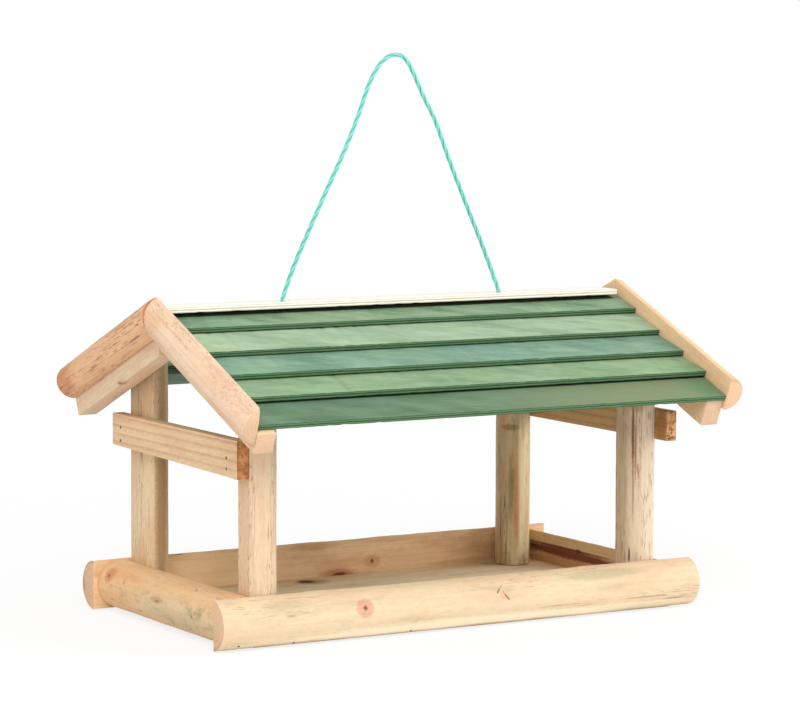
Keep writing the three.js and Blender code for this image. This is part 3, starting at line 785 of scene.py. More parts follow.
PEELED = {
    "front_rail": dict(
        pale="#e5cdab", dark="#d1aa77", ring=3.4, ring_show=0.08, fleck=0.4, fleck_bands=0.54,
        fleck_colour="#7d6a4c", blush=0.4, blush_colour="#dfae8c", stain=0.4, stain_colour="#aea680",
        knots=[((-89.3, -108.6, 23.8), 10)],
        marks=[
            ((25.0, -108, 23.0), (3.2, 4, 3.0), "#dca67e", 0.6),
            ((115, -104, 31), (42, 8, 5), "#a3a07c", 0.5), ((75, -106, 12), (26, 4, 0.6), "#6f6849", 0.5),
            ((150, -107, 12), (22, 4, 0.6), "#6f6849", 0.55),
            ((176, -106, 9), (12, 4, 0.6), "#5c553c", 0.65),
            # The last mark here, a pale band along the rail's underside, is painted light
            ((-150, -104, 30), (22, 8, 4), "#b3a988", 0.4), ((0, -104, 4), (230, 7, 8), "#fff1d4", 0.75),
        ],
        cuts=[
            ((20.7, -107.7, 25.6), (22.6, -106.6, 27.9), 0.8, "#5f4028", 0.75),
            ((22.6, -106.6, 27.9), (25.9, -104.4, 30.4), 0.5, "#9a7a54", 0.6),
            ((25.0, -107.2, 26.4), (27.0, -108.3, 23.6), 0.5, "#9a6c48", 0.6),
            ((27.0, -108.3, 23.6), (29.6, -109.1, 20.2), 0.8, "#6b4529", 0.75),
        ],
    ),
    "back_rail": dict(
        pale="#f4d0a6", dark="#d79e6b", ring=5, ring_show=0.12, wobble=3, blush=0.5, blush_colour="#b97e54",
        knots=[((-200.6, 119.5, 16.3), 5)],
        marks=[
            ((-180, 101, 14), (14, 4, 6), "#d08c4c", 0.6), ((150, 101, 18), (24, 4, 8), "#a97a48", 0.3),
            # The two broad marks make the inner face lighter towards the left and darker towards the right
            ((-104, 101, 20), (60, 4, 18), "#fcdcae", 0.5), ((92, 101, 18), (70, 4, 18), "#b08050", 0.3),
            ((37.1, 101, 18.4), (10, 4, 6), "#c07a44", 0.5),
            ((37.1, 101, 18.4), (2, 4, 2.2), "#5c3014", 0.8),
            ((7, 101, 11.6), (17, 4, 4), "#b4683a", 0.6), ((8.4, 101, 10.6), (7, 4, 1.6), "#50290f", 0.85),
            ((-14, 101, 33.4), (24, 4, 3.4), "#a5643a", 0.35), ((60, 101, 34), (30, 4, 2.4), "#a8703f", 0.3),
            ((118, 101, 12), (34, 4, 3), "#a8703f", 0.3),
        ],
    ),
    "left_end_rail": dict(
        pale="#e6be8e", dark="#ca8f5b", ring_show=0.12, wobble=3, fleck=0.45, fleck_bands=0.5,
        fleck_run=150, fleck_colour="#8a6f4a", blush=0.5, blush_colour="#d99c68",
        knots=[((-195.1, 86.3, 27.3), 8)],
        marks=[
            ((-197, -26, 15), (18, 98, 14.5), "#d8c29c", 0.8),
            ((-197, -34, 11), (18, 60, 9), "#bfa988", 0.45),
            ((-196, 60, 31), (9, 36, 4), "#d98f56", 0.4), ((-194.5, 84, 29), (9, 9, 7), "#b4683a", 0.35),
            ((-197.2, 4, 21.8), (4, 11, 3.2), "#b0704a", 0.55),
            ((-197.2, 3, 20.8), (3, 3, 1.1), "#7a4630", 0.55),
            ((-197.1, -51.2, 18.2), (3, 1.6, 1.1), "#6a5a44", 0.7),
            ((-195.6, 60, 26), (3, 1.2, 2), "#a0582c", 0.6),
        ],
        mould=[((-197, -22, 15), (18, 104, 15.5), "#84774e", 0.62)],
    ),
    "right_end_rail": dict(
        pale="#e0bd8e", dark="#bf9160", ring_show=0.12, blush=0.2,
        marks=[
            ((182, 44, 12.6), (6, 90, 4.5), "#b27a42", 0.6), ((182, 42, 20.4), (8, 88, 5.2), "#7a3c24", 1.0),
            ((182, 42, 24.2), (8, 70, 1.2), "#4a2618", 0.7), ((182, 31, 24.4), (6, 5, 2.2), "#3c1e14", 0.8),
            ((182, 96, 20), (6, 10, 6), "#3c1e14", 0.5),
        ],
    ),
    "post_left_front": dict(
        pale="#e3c8a8", dark="#c9a27a", ring_show=0.12, fleck=0.65, fleck_bands=0.46, lines=0.25,
        fleck_run=170, fleck_colour="#946a42", blush=0.35, blush_colour="#dba57e",
        marks=[((-170.2, -80, 90), (2, 9, 90), "#c8986a", 0.22)],
    ),
    "post_left_back": dict(
        pale="#e5cba5", dark="#c09b72", ring_show=0.15, fleck=0.7, fleck_bands=0.48, lines=0.25,
        fleck_run=130, fleck_colour="#8f6238", blush=0.4, blush_colour="#cf986c",
        marks=[
            # The first mark is painted shade, the whole height of the post's round inner side
            ((-162, 62, 85), (8, 8, 130), "#98703e", 0.65), ((-170.3, 82, 122), (2, 3, 16), "#a06c42", 0.45),
            ((-170.3, 80, 136), (2, 5, 5), "#8f5a36", 0.5),
        ],
        cuts=[
            ((-170.3, 83, 128), (-170.3, 81.5, 117), 0.5, "#7a4a2c", 0.6),
            ((-170.3, 80.5, 121), (-170.3, 81.2, 109), 0.5, "#7a4a2c", 0.5),
        ],
    ),
    "post_right_front": dict(
        pale="#dfc8aa", dark="#bc966c", ring_show=0.12, fleck=0.85, fleck_bands=0.42, lines=0.35,
        fleck_colour="#83532f", blush=0.3, blush_colour="#cf9a84",
        marks=[
            ((152.1, -85.8, 128), (1.2, 1.4, 32), "#7d4c2a", 0.9),
            ((153.6, -87.2, 118), (0.9, 1, 26), "#94623c", 0.7),
            ((152.3, -86.2, 88), (1, 1, 30), "#a5684a", 0.6),
            ((150.9, -84, 40), (0.8, 1, 7), "#54301c", 0.9),
            # The tall dark mark on the post's left side is painted shade, and the tall pale one on its right
            # side is painted light
            ((153, -88, 152), (14, 8, 6), "#94744c", 0.45), ((149, -78, 96), (3, 7, 110), "#a2835c", 0.3),
            ((163, -92, 96), (9, 6, 120), "#f6e6cf", 0.32),
        ],
    ),
    "post_right_back": dict(
        pale="#e2cba1", dark="#a38a5f", ring_show=0.12, fleck=0.8, fleck_bands=0.45, lines=0.4,
        fleck_colour="#6d5432", blush=0.5, blush_colour="#c58a5a", stain=0.5, stain_colour="#86855c",
        marks=[
            ((147, 77, 119), (9, 9, 3), "#7d5630", 0.6), ((152, 74, 60), (3.4, 4, 46), "#c07a45", 0.6),
            ((148, 75, 70), (2.4, 4, 34), "#5d5b3c", 0.5), ((158, 74, 12), (5, 5, 8), "#5a3d22", 0.5),
            # These are painted light down the post's right side and painted shade down its left side
            ((157, 72, 76), (5, 5, 80), "#fff0cc", 0.35), ((144, 84, 80), (3, 7, 90), "#8f7a50", 0.2),
        ],
    ),
    "barge_left_front": dict(
        pale="#e7cbad", dark="#d2a780", ring_show=0.08, fleck=0.55, fleck_bands=0.405, lines=0.25,
        fleck_run=260, fleck_colour="#be7f62", blush=0.4, blush_colour="#dda184",
        marks=[((-203, -8, 222), (12, 16, 10), "#d9a070", 0.4)],
    ),
    "barge_left_back": dict(
        pale="#e3b78d", dark="#cf9567", ring_show=0.15, fleck=0.75, fleck_bands=0.44, lines=0.45,
        fleck_colour="#84452c", blush=0.4, blush_colour="#c9794f", end_pale="#cf9468", end_dark="#a8623c",
        knots=[((-205.6, 142, 172), 3), ((-203.6, 138, 165), 2.4)],
        marks=[((-205, 146, 172), (20, 26, 24), "#b9663c", 0.5)],
    ),
    "barge_right_front": dict(
        pale="#e8c79c", dark="#d19c66", ring_show=0.15, fleck=0.5, fleck_bands=0.6, blush=0.3,
        end_pale="#e8c4a0", end_dark="#d6a27c", end_rim="#cf8a5c",
    ),
    "barge_right_back": dict(pale="#e6c79a", dark="#c99a66", ring_show=0.15, fleck=0.5, fleck_bands=0.55),
}


PITH_ASIDE = 1.5 * MM
PITH_OUT = 1.0 * MM
LOG_APART = 0.53  # metres along the grain between one log's pattern and the next


def make_logs(names):
    """Turns, saws and finishes these logs."""
    for node in names:
        along, flat, slot = LOGS[node]
        piece, middle, across, radius = turn_log(node + "_log", node, along, flat)
        number = list(LOGS).index(node)
        pith = middle + across * PITH_ASIDE - flat * PITH_OUT
        lay_grain(piece, pith, along, across, LOG_APART * number)
        finish = timber(node + "_wood", bark_at=radius / MM, seed=number + 1, **PEELED[node])
        put_on(piece, finish, nodes=[node])


CAMERA_PLACE = Vector((-1254.69, -2128.77, 427.63)) * MM
CAMERA_ANGLES = (30.552, 5.515, 0.249)  # azimuth, elevation and roll in degrees
CAMERA_LENS = 151.22  # millimetres, on a sensor 36 mm wide
LAMP_AIM = Vector((0, 0, 0.15))


class BIRDTABLE_OT_stage(bpy.types.Operator):
    """Sets up the camera, the lights and the floor"""

    bl_idname = "birdtable.stage"
    bl_label = "Stage"

    def execute(self, context):
        settings = context.scene.bird_table_stage
        context.scene.view_settings.view_transform = "Standard"
        self.camera(context)
        self.floor(settings)
        self.lamp("key_light", (-1.1, -1.5, 1.5), 1.6, settings.key)
        self.lamp("fill_light", (1.7, -1.0, 0.9), 1.4, settings.fill)
        self.room(context, settings.sky)
        return {"FINISHED"}

    def room(self, context, strength):
        """Even light from all round, which the camera and the shine see as plain white."""
        world = bpy.data.worlds.new("even_room")
        context.scene.world = world
        world.use_nodes = True
        tree = world.node_tree
        even = tree.nodes["Background"]
        even.inputs["Color"].default_value = (1, 1, 1, 1)
        even.inputs["Strength"].default_value = strength
        white = tree.nodes.new("ShaderNodeBackground")
        white.inputs["Strength"].default_value = 1.0
        white.inputs["Color"].default_value = (1, 1, 1, 1)
        path = tree.nodes.new("ShaderNodeLightPath")
        seen = tree.nodes.new("ShaderNodeMath")
        seen.operation = "MAXIMUM"
        tree.links.new(path.outputs["Is Camera Ray"], seen.inputs[0])
        tree.links.new(path.outputs["Is Glossy Ray"], seen.inputs[1])
        either = tree.nodes.new("ShaderNodeMixShader")
        tree.links.new(seen.outputs[0], either.inputs[0])
        tree.links.new(even.outputs[0], either.inputs[1])
        tree.links.new(white.outputs[0], either.inputs[2])
        tree.links.new(either.outputs[0], tree.nodes["World Output"].inputs["Surface"])

    def camera(self, context):
        lens = bpy.data.cameras.new("camera")
        lens.sensor_fit = "HORIZONTAL"
        lens.sensor_width = 36
        lens.lens = CAMERA_LENS
        lens.clip_start = 0.05
        lens.clip_end = 50
        camera = bpy.data.objects.new("camera", lens)
        context.scene.collection.objects.link(camera)
        azimuth, elevation, roll = (math.radians(angle) for angle in CAMERA_ANGLES)
        ahead = Vector((
            math.sin(azimuth) * math.cos(elevation), math.cos(azimuth) * math.cos(elevation),
            -math.sin(elevation),
        ))
        level = ahead.cross(Z).normalized()
        upright = level.cross(ahead)
        right = level * math.cos(roll) + upright * math.sin(roll)
        up = upright * math.cos(roll) - level * math.sin(roll)
        turn = Matrix((right, up, -ahead)).transposed().to_4x4()
        camera.matrix_world = Matrix.Translation(CAMERA_PLACE) @ turn
        context.scene.camera = camera

    def floor(self, settings):
        free_hands()
        bpy.ops.mesh.primitive_plane_add(size=14, location=(0, 0, -0.0005))
        floor = take_new("floor")
        made = Finish("pale_floor", Specular_IOR_Level=0.0)
        made.skin.inputs["Base Color"].default_value = paint(settings.floor)
        made.skin.inputs["Roughness"].default_value = 0.9
        glow = made.node("ShaderNodeEmission", None, {"Color": (1, 1, 1, 1), "Strength": 1.0})
        path = made.node("ShaderNodeLightPath")
        seen = Value(made, path.outputs["Is Camera Ray"])
        seen = made.maths("MAXIMUM", seen, Value(made, path.outputs["Is Glossy Ray"]))
        far = made.rise(made.distance(made.place(), (0, 0, 0)), 0.4, 0.9)
        both = made.node("ShaderNodeMixShader", None, {0: seen * (far * 0.2 + 0.8)})
        output = next(n for n in made.tree.nodes if n.type == "OUTPUT_MATERIAL")
        made.tree.links.new(made.skin.outputs[0], both.inputs[1])
        made.tree.links.new(glow.outputs[0], both.inputs[2])
        made.tree.links.new(both.outputs[0], output.inputs["Surface"])
        floor.data.materials.append(made.material)

    def lamp(self, name, place, size, power):
        light = bpy.data.lights.new(name, "AREA")
        light.shape = "DISK"
        light.size = size
        light.energy = power
        lamp = bpy.data.objects.new(name, light)
        bpy.context.scene.collection.objects.link(lamp)
        lamp.location = place
        aim = LAMP_AIM - Vector(place)
        lamp.rotation_euler = aim.to_track_quat("-Z", "Y").to_euler()


# Cord

CURVE_STEPS = 40
CORD_SPACING = 1.1 * MM
STRAND_SIDES = 12
STRAND_SHARE = 0.36  # a strand's radius as a share of the cord's diameter
SECTOR = math.tan(math.radians(59))  # how far a strand spreads before it meets the next
CAP_RINGS = [(0.35, 0.85), (0.75, 0.55)]  # a strand's rounded end: each ring's swell and how far out it is


def through(points, spacing):
    """Points at an even spacing on the smooth centripetal curve through some points, and its length."""
    points = [Vector(p) for p in points]
    ends = [2 * points[0] - points[1], *points, 2 * points[-1] - points[-2]]
    fine = []
    for i in range(1, len(ends) - 2):
        p0, p1, p2, p3 = ends[i - 1:i + 3]
        d0, d1, d2 = ((b - a).length ** 0.5 for a, b in ((p0, p1), (p1, p2), (p2, p3)))
        t1 = (p1 - p0) / d0 - (p2 - p0) / (d0 + d1) + (p2 - p1) / d1
        t2 = (p2 - p1) / d1 - (p3 - p1) / (d1 + d2) + (p3 - p2) / d2
        t1, t2 = t1 * d1, t2 * d1
        square = -3 * p1 + 3 * p2 - 2 * t1 - t2
        cube = 2 * p1 - 2 * p2 + t1 + t2
        for step in range(CURVE_STEPS):
            t = step / CURVE_STEPS
            fine.append(p1 + t1 * t + square * t ** 2 + cube * t ** 3)
    fine.append(points[-1])
    fine = np.array(fine, float)
    run = np.concatenate([[0], np.cumsum(np.linalg.norm(np.diff(fine, axis=0), axis=1))])
    count = max(2, round(run[-1] / spacing))
    even = np.linspace(0, run[-1], count + 1)
    return np.stack([np.interp(even, run, fine[:, k]) for k in range(3)], 1), run[-1]


def twist(name, line, diameter, lay, start_turn=0.0):
    """Three strands laid round each other along a line and pressed flat where they meet.
    Each point knows how far along and how far round it is."""
    strand_radius = diameter * STRAND_SHARE
    offset = diameter / 2 - strand_radius
    steps = np.linalg.norm(np.diff(line, axis=0), axis=1)
    run = np.concatenate([[0], np.cumsum(steps)])
    tangent = np.gradient(line, axis=0)
    tangent /= np.linalg.norm(tangent, axis=1)[:, None]
    side = np.zeros_like(line)
    start = np.cross(tangent[0], (0.0, 1.0, 0.0))
    if np.linalg.norm(start) < 0.2:
        start = np.cross(tangent[0], (1.0, 0.0, 0.0))
    side[0] = start / np.linalg.norm(start)
    for i in range(1, len(line)):
        carried = side[i - 1] - tangent[i] * (side[i - 1] @ tangent[i])
        side[i] = carried / np.linalg.norm(carried)
    other = np.cross(tangent, side)
    mesh = bpy.data.meshes.new(name)
    points, faces, lays = [], [], []
    last = len(line) - 1
    for strand in range(3):
        turn = 2 * np.pi * (run / lay + strand / 3) + start_turn
        out = np.cos(turn)[:, None] * side + np.sin(turn)[:, None] * other
        centre = line + out * offset
        heading = np.gradient(centre, axis=0)
        heading /= np.linalg.norm(heading, axis=1)[:, None]
        outward = out - heading * np.sum(out * heading, axis=1)[:, None]
        outward /= np.linalg.norm(outward, axis=1)[:, None]
        beside = np.cross(heading, outward)
        rings = [(0, swell, -ahead) for swell, ahead in CAP_RINGS]
        rings += [(i, 1.0, 0.0) for i in range(last + 1)]
        rings += [(last, swell, ahead) for swell, ahead in reversed(CAP_RINGS)]
        base = len(points)
        for i, swell, forward in rings:
            for k in range(STRAND_SIDES):
                round_turn = 2 * math.pi * k / STRAND_SIDES
                spoke = max(offset + math.cos(round_turn) * strand_radius * swell, 0.04 * MM)
                limit = spoke * SECTOR
                sideways = min(max(math.sin(round_turn) * strand_radius * swell, -limit), limit)
                point = centre[i] + heading[i] * forward * strand_radius
                point = point + (spoke - offset) * outward[i] + sideways * beside[i]
                points.append(point)
                lays.append((run[i], k / STRAND_SIDES, 0.5 + 0.5 * math.cos(round_turn)))
        for ring in range(len(rings) - 1):
            row = base + ring * STRAND_SIDES
            for k in range(STRAND_SIDES):
                a = row + k
                b = row + (k + 1) % STRAND_SIDES
                faces.append((a, b, b + STRAND_SIDES, a + STRAND_SIDES))
        faces.append(tuple(base + k for k in reversed(range(STRAND_SIDES))))
        top = base + (len(rings) - 1) * STRAND_SIDES
        faces.append(tuple(top + k for k in range(STRAND_SIDES)))
    mesh.from_pydata([tuple(p) for p in points], [], faces)
    mesh.attributes.new("lay", "FLOAT_VECTOR", "POINT").data.foreach_set(
        "vector", np.array(lays, np.float32).ravel()
    )
    piece = bpy.data.objects.new(name, mesh)
    bpy.context.scene.collection.objects.link(piece)
    merge_points(piece, 0.02 * MM)
    smooth(piece, 60)
    return piece


KNOT_RADIUS = 3.1 * MM
KNOT_HEIGHT = 5.2 * MM
KNOT_STEPS = 24
KNOT_START = math.radians(-27)
KNOT_SWEEP = math.radians(510.84)


class BIRDTABLE_OT_cord(bpy.types.Operator):
    """Lays the cord loop and ties its two knots under the roof"""

    bl_idname = "birdtable.cord"
    bl_label = "Cord"

    def execute(self, context):
        settings = context.scene.bird_table_cord
        finish = cord_finish(settings)
        route = [(x * MM, RIDGE_Y, z * MM) for x, z in LOOP_ROUTE]
        line, length = through(route, CORD_SPACING)
        loop = twist("cord_loop_twist", line, settings.diameter, settings.lay)
        put_on(loop, finish, "hanging_loop", ["cord_loop"])
        for side, x in (("left", LEFT_HOLE), ("right", RIGHT_HOLE)):
            node = "cord_end_" + side
            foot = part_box(node)[0].z
            turn = 1.0 if side == "left" else 2.2
            end = twist(
                node + "_twist", self.knot_line(x, foot, turn), settings.diameter, settings.lay * 0.7, turn,
            )
            put_on(end, finish, "table", [node])
        return {"FINISHED"}

    def knot_line(self, x, foot, turn):
        """From the strip's top down into a wound knot, drawn up under the roof, and on to the tail's end."""
        top = STRIP_TOP + 1.2 * MM
        middle = foot + 14.5 * MM
        swing = Matrix.Rotation(turn, 3, "Z")
        knot = []
        for step in range(KNOT_STEPS + 1):
            share = step / KNOT_STEPS
            angle = KNOT_START + share * KNOT_SWEEP
            ring = Vector((math.cos(angle), math.sin(angle), 0)) * KNOT_RADIUS
            down = Vector((0, 0, (0.5 - share) * KNOT_HEIGHT))
            knot.append(swing @ (ring + down) + Vector((x, RIDGE_Y, middle)))
        start = [Vector((x, RIDGE_Y, z)) for z in (top, top - 8 * MM, middle + 7.5 * MM)]
        aside = x + 0.8 * MM
        end = [Vector((aside, RIDGE_Y, z)) for z in (middle - 6.5 * MM, foot + 4 * MM, foot + 0.6 * MM)]
        line, _ = through([*start, *knot, *end], CORD_SPACING)
        return line


class BIRDTABLE_OT_tray(bpy.types.Operator):
    """Makes the tray's four rails and its floor board"""

    bl_idname = "birdtable.tray"
    bl_label = "Tray"

    def execute(self, context):
        settings = context.scene.bird_table_timber
        make_logs(["front_rail", "back_rail", "left_end_rail", "right_end_rail"])
        board, middle, across = saw_plank("floor_board_plank", "floor_board", X, Z, 60)
        pith = middle - Z * 38 * MM + across * 9 * MM
        lay_grain(board, pith, X, across, 0.0)
        finish = timber(
            "floor_wood", settings.floor_board, "#d4b182", ring=4.2, ring_show=0.2, stain=0.4,
            stain_colour="#9c977a", seed=21,
            marks=[
                ((-26, 84, 9.5), (17, 13, 4), "#8c6a38", 0.6),
                ((-29.5, 86.5, 9.5), (8, 9, 4), "#3c260c", 0.95),
                ((120, 88, 9.5), (60, 8, 4), "#8a7a58", 0.15),
            ],
        )
        put_on(board, finish, nodes=["floor_board"])
        return {"FINISHED"}


class BIRDTABLE_OT_posts(bpy.types.Operator):
    """Makes the four half-log posts"""

    bl_idname = "birdtable.posts"
    bl_label = "Posts"

    def execute(self, context):
        make_logs([node for node in LOGS if node.startswith("post")])
        return {"FINISHED"}


BATTEN_APART = 0.41  # metres along the grain between one batten's pattern and the next


class BIRDTABLE_OT_battens(bpy.types.Operator):
    """Makes the two tie bars and the four rafters"""

    bl_idname = "birdtable.battens"
    bl_label = "Battens"

    def execute(self, context):
        settings = context.scene.bird_table_timber
        sawn_pine = dict(ring=6.2, ring_show=0.45, wobble=0.7)
        finishes = {
            "tie": timber(
                "tie_wood", settings.tie_bar, "#c08b6c", end_pale="#cb8d55", end_dark="#7a3f1e",
                end_mottle=1.7, seed=31, **sawn_pine,
            ),
            # The right tie bar: the tie bar's wood made darker, as painted shade
            "shaded_tie": timber(
                "shaded_tie_wood", settings.shade_painted_tie_bar, "#a97648", end_pale="#e0aa72",
                end_dark="#5a2c14", end_mottle=2.3, seed=37,
                # Painted shade near the bar's front end, beside the post
                marks=[((167, -100, 138), (3, 10, 22), "#9f6534", 0.8)], **sawn_pine,
            ),
            "rafter": timber(
                "rafter_wood", settings.rafter, "#cfa478", ring=3.2, ring_show=0.12, end_rings=0.06, seed=33,
            ),
            "grey_rafter": timber(
                "grey_rafter_wood", settings.grey_rafter, "#be9c75", ring=3.2, ring_show=0.08, stain=0.25,
                stain_colour="#b0a88c", blush=0.4, seed=35,
                marks=[
                    ((-195, 66.5, 171.5), (4, 5, 1.2), "#5a3a22", 0.85),
                    ((-195, 60, 172), (5, 14, 3), "#b98458", 0.5),
                    ((-188, 40, 182), (8, 30, 12), "#dcb184", 0.5),
                ],
            ),
        }
        ways = {"tie_bar_left": (Y, Z, "tie"), "tie_bar_right": (Y, Z, "shaded_tie")}
        for side in ("left", "right"):
            for end, down in (("front", DOWN_FRONT), ("back", DOWN_BACK)):
                up = Vector((0, down.z * (1 if end == "front" else -1), abs(down.y)))
                kind = "grey_rafter" if (side, end) == ("left", "back") else "rafter"
                ways[f"rafter_{side}_{end}"] = (down, up, kind)
        for number, (node, (along, up, kind)) in enumerate(ways.items()):
            piece, middle, across = saw_plank(node + "_batten", node, along, up, 40)
            pith = middle - up * 55 * MM + across * 14 * MM
            lay_grain(piece, pith, along, across, BATTEN_APART * number)
            put_on(piece, finishes[kind], nodes=[node])
        return {"FINISHED"}


class BIRDTABLE_OT_barges(bpy.types.Operator):
    """Makes the four half-log barge boards"""

    bl_idname = "birdtable.barges"
    bl_label = "Barge boards"

    def execute(self, context):
        make_logs([node for node in LOGS if node.startswith("barge")])
        return {"FINISHED"}


PLY_EDGE = 0.5  # cosine between a face's normal and the board's, below which it shows the layers
CHIPPED_WIDTH = 0.6 * MM
CHIP_STOPS = [(0.18, 0.0), (0.42, 1.0)]
BORED_COURSES = (1, 2)
RIDGE_PAINTED_SHADE_START = 5.6  # millimetres up the top slats from their middles to where the painted shade under the ridge strip starts
# How dark the painted shade under the slat above or the ridge strip is, and its fainter level on the middle
# courses
PAINTED_SHADE = 0.92
FAINT_PAINTED_SHADE = 0.8
FAINT_PAINTED_SHADE_LOWER = 0.6  # millimetres by which the faint painted shade starts lower down
COOL_DRIFT = (0.68, 0.85, 0.98, 1)
WARM_DRIFT = (1.1, 1.05, 0.85, 1)


def mark_ply(piece, up):
    """Marks the faces that show the ply's layers."""
    edges = piece.data.attributes.new("ply_edge", "FLOAT", "FACE")
    marks = [float(abs(face.normal.dot(up)) < PLY_EDGE) for face in piece.data.polygons]
    edges.data.foreach_set("value", marks)


def chip_edges(piece, across, low_side, depth):
    """Chips one long edge of a ply board, as the saw left it."""
    points = np.array([v.co for v in piece.data.vertices]) @ np.array(across)
    edge = points.min() if low_side else points.max()
    group = piece.vertex_groups.new(name="chipped")
    for number, place in enumerate(points):
        if abs(place - edge) < CHIPPED_WIDTH:
            group.add([number], 1.0, "REPLACE")
    wear(piece, clouds("chips", 0.006, CHIP_STOPS), depth, "chipped")
    piece.vertex_groups.clear()


def ply_board(node, up, way, shift, bored):
    """A ply board along the ridge, chipped along its front edge when way is -1, and its back one when 1."""
    settings = bpy.context.scene.bird_table_roof
    piece, middle, across = cut_plank(node + "_ply", node, X, up, 110, layers=2)
    ease_edges(piece, settings.ply_ease)
    chip_edges(piece, across, across.y * way < 0, settings.chip_depth)
    if bored:
        for x in (LEFT_HOLE, RIGHT_HOLE):
            bore(piece, x)
    smooth(piece)
    lay_grain(piece, middle, X, across * -way, shift)
    mark_ply(piece, up)
    return piece


class BIRDTABLE_OT_slats(bpy.types.Operator):
    """Makes the ten lapped ply slats"""

    bl_idname = "birdtable.slats"
    bl_label = "Slats"

    def execute(self, context):
        settings = context.scene.bird_table_roof
        eave_tints = [(-60, 110, "#848a62", 0.6), (160, 200, "#5f8862", 0.55)]
        looks = [
            (settings.ridge_slat, "#5a795b", ()), (settings.second_slat, "#7b9674", ()),
            (settings.middle_slat, "#5a7d66", ()), (settings.fourth_slat, "#6b8963", ()),
            (settings.eave_slat, "#446348", eave_tints),
        ]
        spans = [reach(node_points(f"slat_front_{i}"), UPHILL_FRONT) for i in range(1, 6)]
        painted_shade_starts = [RIDGE_PAINTED_SHADE_START] + [(above[0] - sum(own) / 2) / MM for above, own in zip(spans, spans[1:])]
        finishes = []
        for number, (stain, dark, tints) in enumerate(looks):
            # Painted shade where the slat above lies, fainter and starting lower on the middle courses
            painted_shade_start, show = painted_shade_starts[number], PAINTED_SHADE
            if number in (1, 2, 3):
                painted_shade_start, show = painted_shade_start - FAINT_PAINTED_SHADE_LOWER, FAINT_PAINTED_SHADE
            finishes.append(ply(
                f"stained_ply_{number + 1}", stain, dark, settings.stained_core, settings.stained_veneer,
                hues=[
                    [level * share for level, share in zip(stain, drift)]
                    for drift in (COOL_DRIFT, WARM_DRIFT)
                ],
                tints=tints, painted_shade_from=painted_shade_start, painted_shade_strength=show,
                painted_shade_end=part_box("ridge_strip")[1].x / MM if number == 0 else None, seed=number + 1.0,
            ))
        for end, way in (("front", -1), ("back", 1)):
            for number in range(1, 6):
                node = f"slat_{end}_{number}"
                normals = [normal for _, normal in sawn_faces(node) if abs(normal.x) < 0.1]
                up = max(normals, key=lambda normal: normal.z)
                shift = 0.6 * number + (0.3 if end == "back" else 0)
                slat = ply_board(node, up, way, shift, number in BORED_COURSES)
                put_on(slat, finishes[number - 1], nodes=[node])
        return {"FINISHED"}


class BIRDTABLE_OT_ridge(bpy.types.Operator):
    """Makes the pale ply strip along the ridge"""

    bl_idname = "birdtable.ridge"
    bl_label = "Ridge strip"

    def execute(self, context):
        settings = context.scene.bird_table_roof
        strip = ply_board("ridge_strip", Z, -1, 0.0, True)
        finish = ply("bare_ply", settings.bare_ply, "#efe9da", "#c2baa4", "#f2eee2", clouding=0.4)
        put_on(strip, finish, nodes=["ridge_strip"])
        return {"FINISHED"}


SHANK_LENGTH = 17.2 * MM
POINT_LENGTH = 2.0 * MM
POINT_SHARE = 0.12  # the tip's width as a share of the shank's
HEAD_RINGS = [0.35 * MM, 0.6 * MM]
HEAD_EDGE = 0.12 * MM


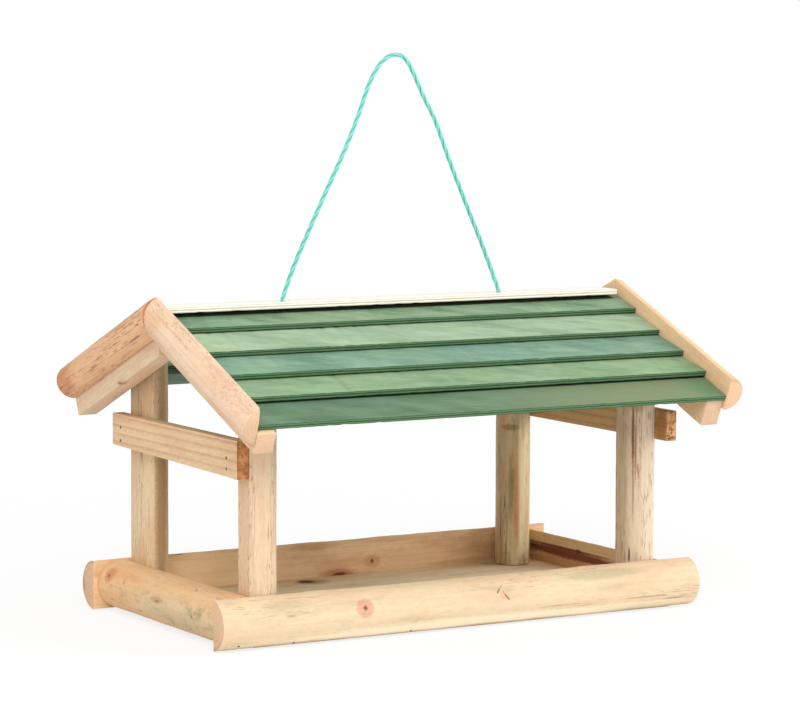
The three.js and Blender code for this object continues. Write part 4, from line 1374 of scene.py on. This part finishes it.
class BIRDTABLE_OT_nails(bpy.types.Operator):
    """Makes one wire nail and drives a copy of it at each place"""

    bl_idname = "birdtable.nails"
    bl_label = "Nails"

    def execute(self, context):
        settings = context.scene.bird_table_nails
        finish = nail_finish(settings)
        pattern = self.wire_nail(settings)
        aims = {"tie_bar_left_nail": X, "tie_bar_right_nail": -X, "front_rail_nail": Y, "back_rail_nail": -Y}
        for node in sorted(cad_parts):
            aim = next((way for start, way in aims.items() if node.startswith(start)), None)
            if aim is None:
                continue
            low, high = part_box(node)
            middle = (low + high) / 2
            head = middle - aim * (high - low).dot(Vector(map(abs, aim))) / 2
            kind = "_log" if "rail" in node else "_batten"
            wood = bpy.data.objects[node.split("_nail")[0] + kind]
            struck, surface, slope, _ = wood.ray_cast(head - aim * 5 * MM, aim)
            if not struck:
                raise RuntimeError(node + " misses its wood")
            # On a slanting surface the head goes in deeper
            sunk = (1 - abs(slope.dot(aim))) * settings.head
            head = surface + aim * (sunk - settings.proud)
            nail = pattern.copy()
            nail.data = pattern.data.copy()
            nail.name = node + "_wire"
            nail.data.name = nail.name
            context.scene.collection.objects.link(nail)
            turn = aim.to_track_quat("-Z", "Y").to_matrix().to_4x4()
            nail.data.transform(Matrix.Translation(head) @ turn)
            put_on(nail, finish, nodes=[node])
        bpy.data.objects.remove(pattern)
        return {"FINISHED"}

    def wire_nail(self, settings):
        """A nail that points down from the origin, its head's top at the origin."""
        thickness = settings.head_thickness
        free_hands()
        bpy.ops.mesh.primitive_cylinder_add(
            vertices=24, radius=settings.head, depth=thickness, location=(0, 0, -thickness / 2),
        )
        nail = take_new("nail_pattern")
        bpy.ops.object.mode_set(mode="EDIT")
        bpy.ops.mesh.select_mode(type="FACE")
        self.pick_end(nail, -1)
        bpy.ops.mesh.inset(thickness=settings.head - settings.shank)
        for length, swell in ((SHANK_LENGTH, 1.0), (POINT_LENGTH, POINT_SHARE)):
            bpy.ops.mesh.extrude_region_move(TRANSFORM_OT_translate={"value": (0, 0, -length)})
            bpy.ops.transform.resize(value=(swell, swell, 1))
        self.pick_end(nail, 1)
        for width in HEAD_RINGS:
            bpy.ops.mesh.inset(thickness=width)
        bpy.ops.object.mode_set(mode="OBJECT")
        ease_edges(nail, HEAD_EDGE)
        smooth(nail)
        return nail

    def pick_end(self, nail, side):
        """Selects the face that looks up (1) or down (-1)."""
        bpy.ops.mesh.select_all(action="DESELECT")
        mesh = bmesh.from_edit_mesh(nail.data)
        faces = [face for face in mesh.faces if face.normal.z * side > 0.9]
        max(faces, key=lambda face: face.calc_center_median().z * side).select = True
        bmesh.update_edit_mesh(nail.data)


class BIRDTABLE_PT_pieces(bpy.types.Panel):
    """Lists the steps that build the bird table"""

    bl_idname = "BIRDTABLE_PT_pieces"
    bl_label = "Hanging bird table"
    bl_space_type = "VIEW_3D"
    bl_region_type = "UI"
    bl_category = "Bird Table"

    def draw(self, context):
        for operator in STEPS:
            self.layout.operator(operator.bl_idname)
        for name in SETTINGS:
            settings = getattr(context.scene, name)
            box = self.layout.box()
            for key in settings.bl_rna.properties.keys():
                if key not in ("rna_type", "name"):
                    box.prop(settings, key)


STEPS = [
    BIRDTABLE_OT_stage, BIRDTABLE_OT_cord, BIRDTABLE_OT_tray, BIRDTABLE_OT_posts, BIRDTABLE_OT_battens,
    BIRDTABLE_OT_barges, BIRDTABLE_OT_slats, BIRDTABLE_OT_ridge, BIRDTABLE_OT_nails,
]

SETTINGS = {
    "bird_table_timber": TimberSettings,
    "bird_table_roof": RoofSettings,
    "bird_table_cord": CordSettings,
    "bird_table_nails": NailSettings,
    "bird_table_stage": StageSettings,
}


def register():
    for name, group in SETTINGS.items():
        bpy.utils.register_class(group)
        setattr(bpy.types.Scene, name, bpy.props.PointerProperty(type=group))
    for operator in STEPS:
        bpy.utils.register_class(operator)
    bpy.utils.register_class(BIRDTABLE_PT_pieces)


def unregister():
    bpy.utils.unregister_class(BIRDTABLE_PT_pieces)
    for operator in reversed(STEPS):
        bpy.utils.unregister_class(operator)
    for name, group in SETTINGS.items():
        delattr(bpy.types.Scene, name)
        bpy.utils.unregister_class(group)


def main():
    register()
    for operator in STEPS:
        group, name = operator.bl_idname.split(".")
        getattr(getattr(bpy.ops, group), name)()


if __name__ == "__main__":
    main()
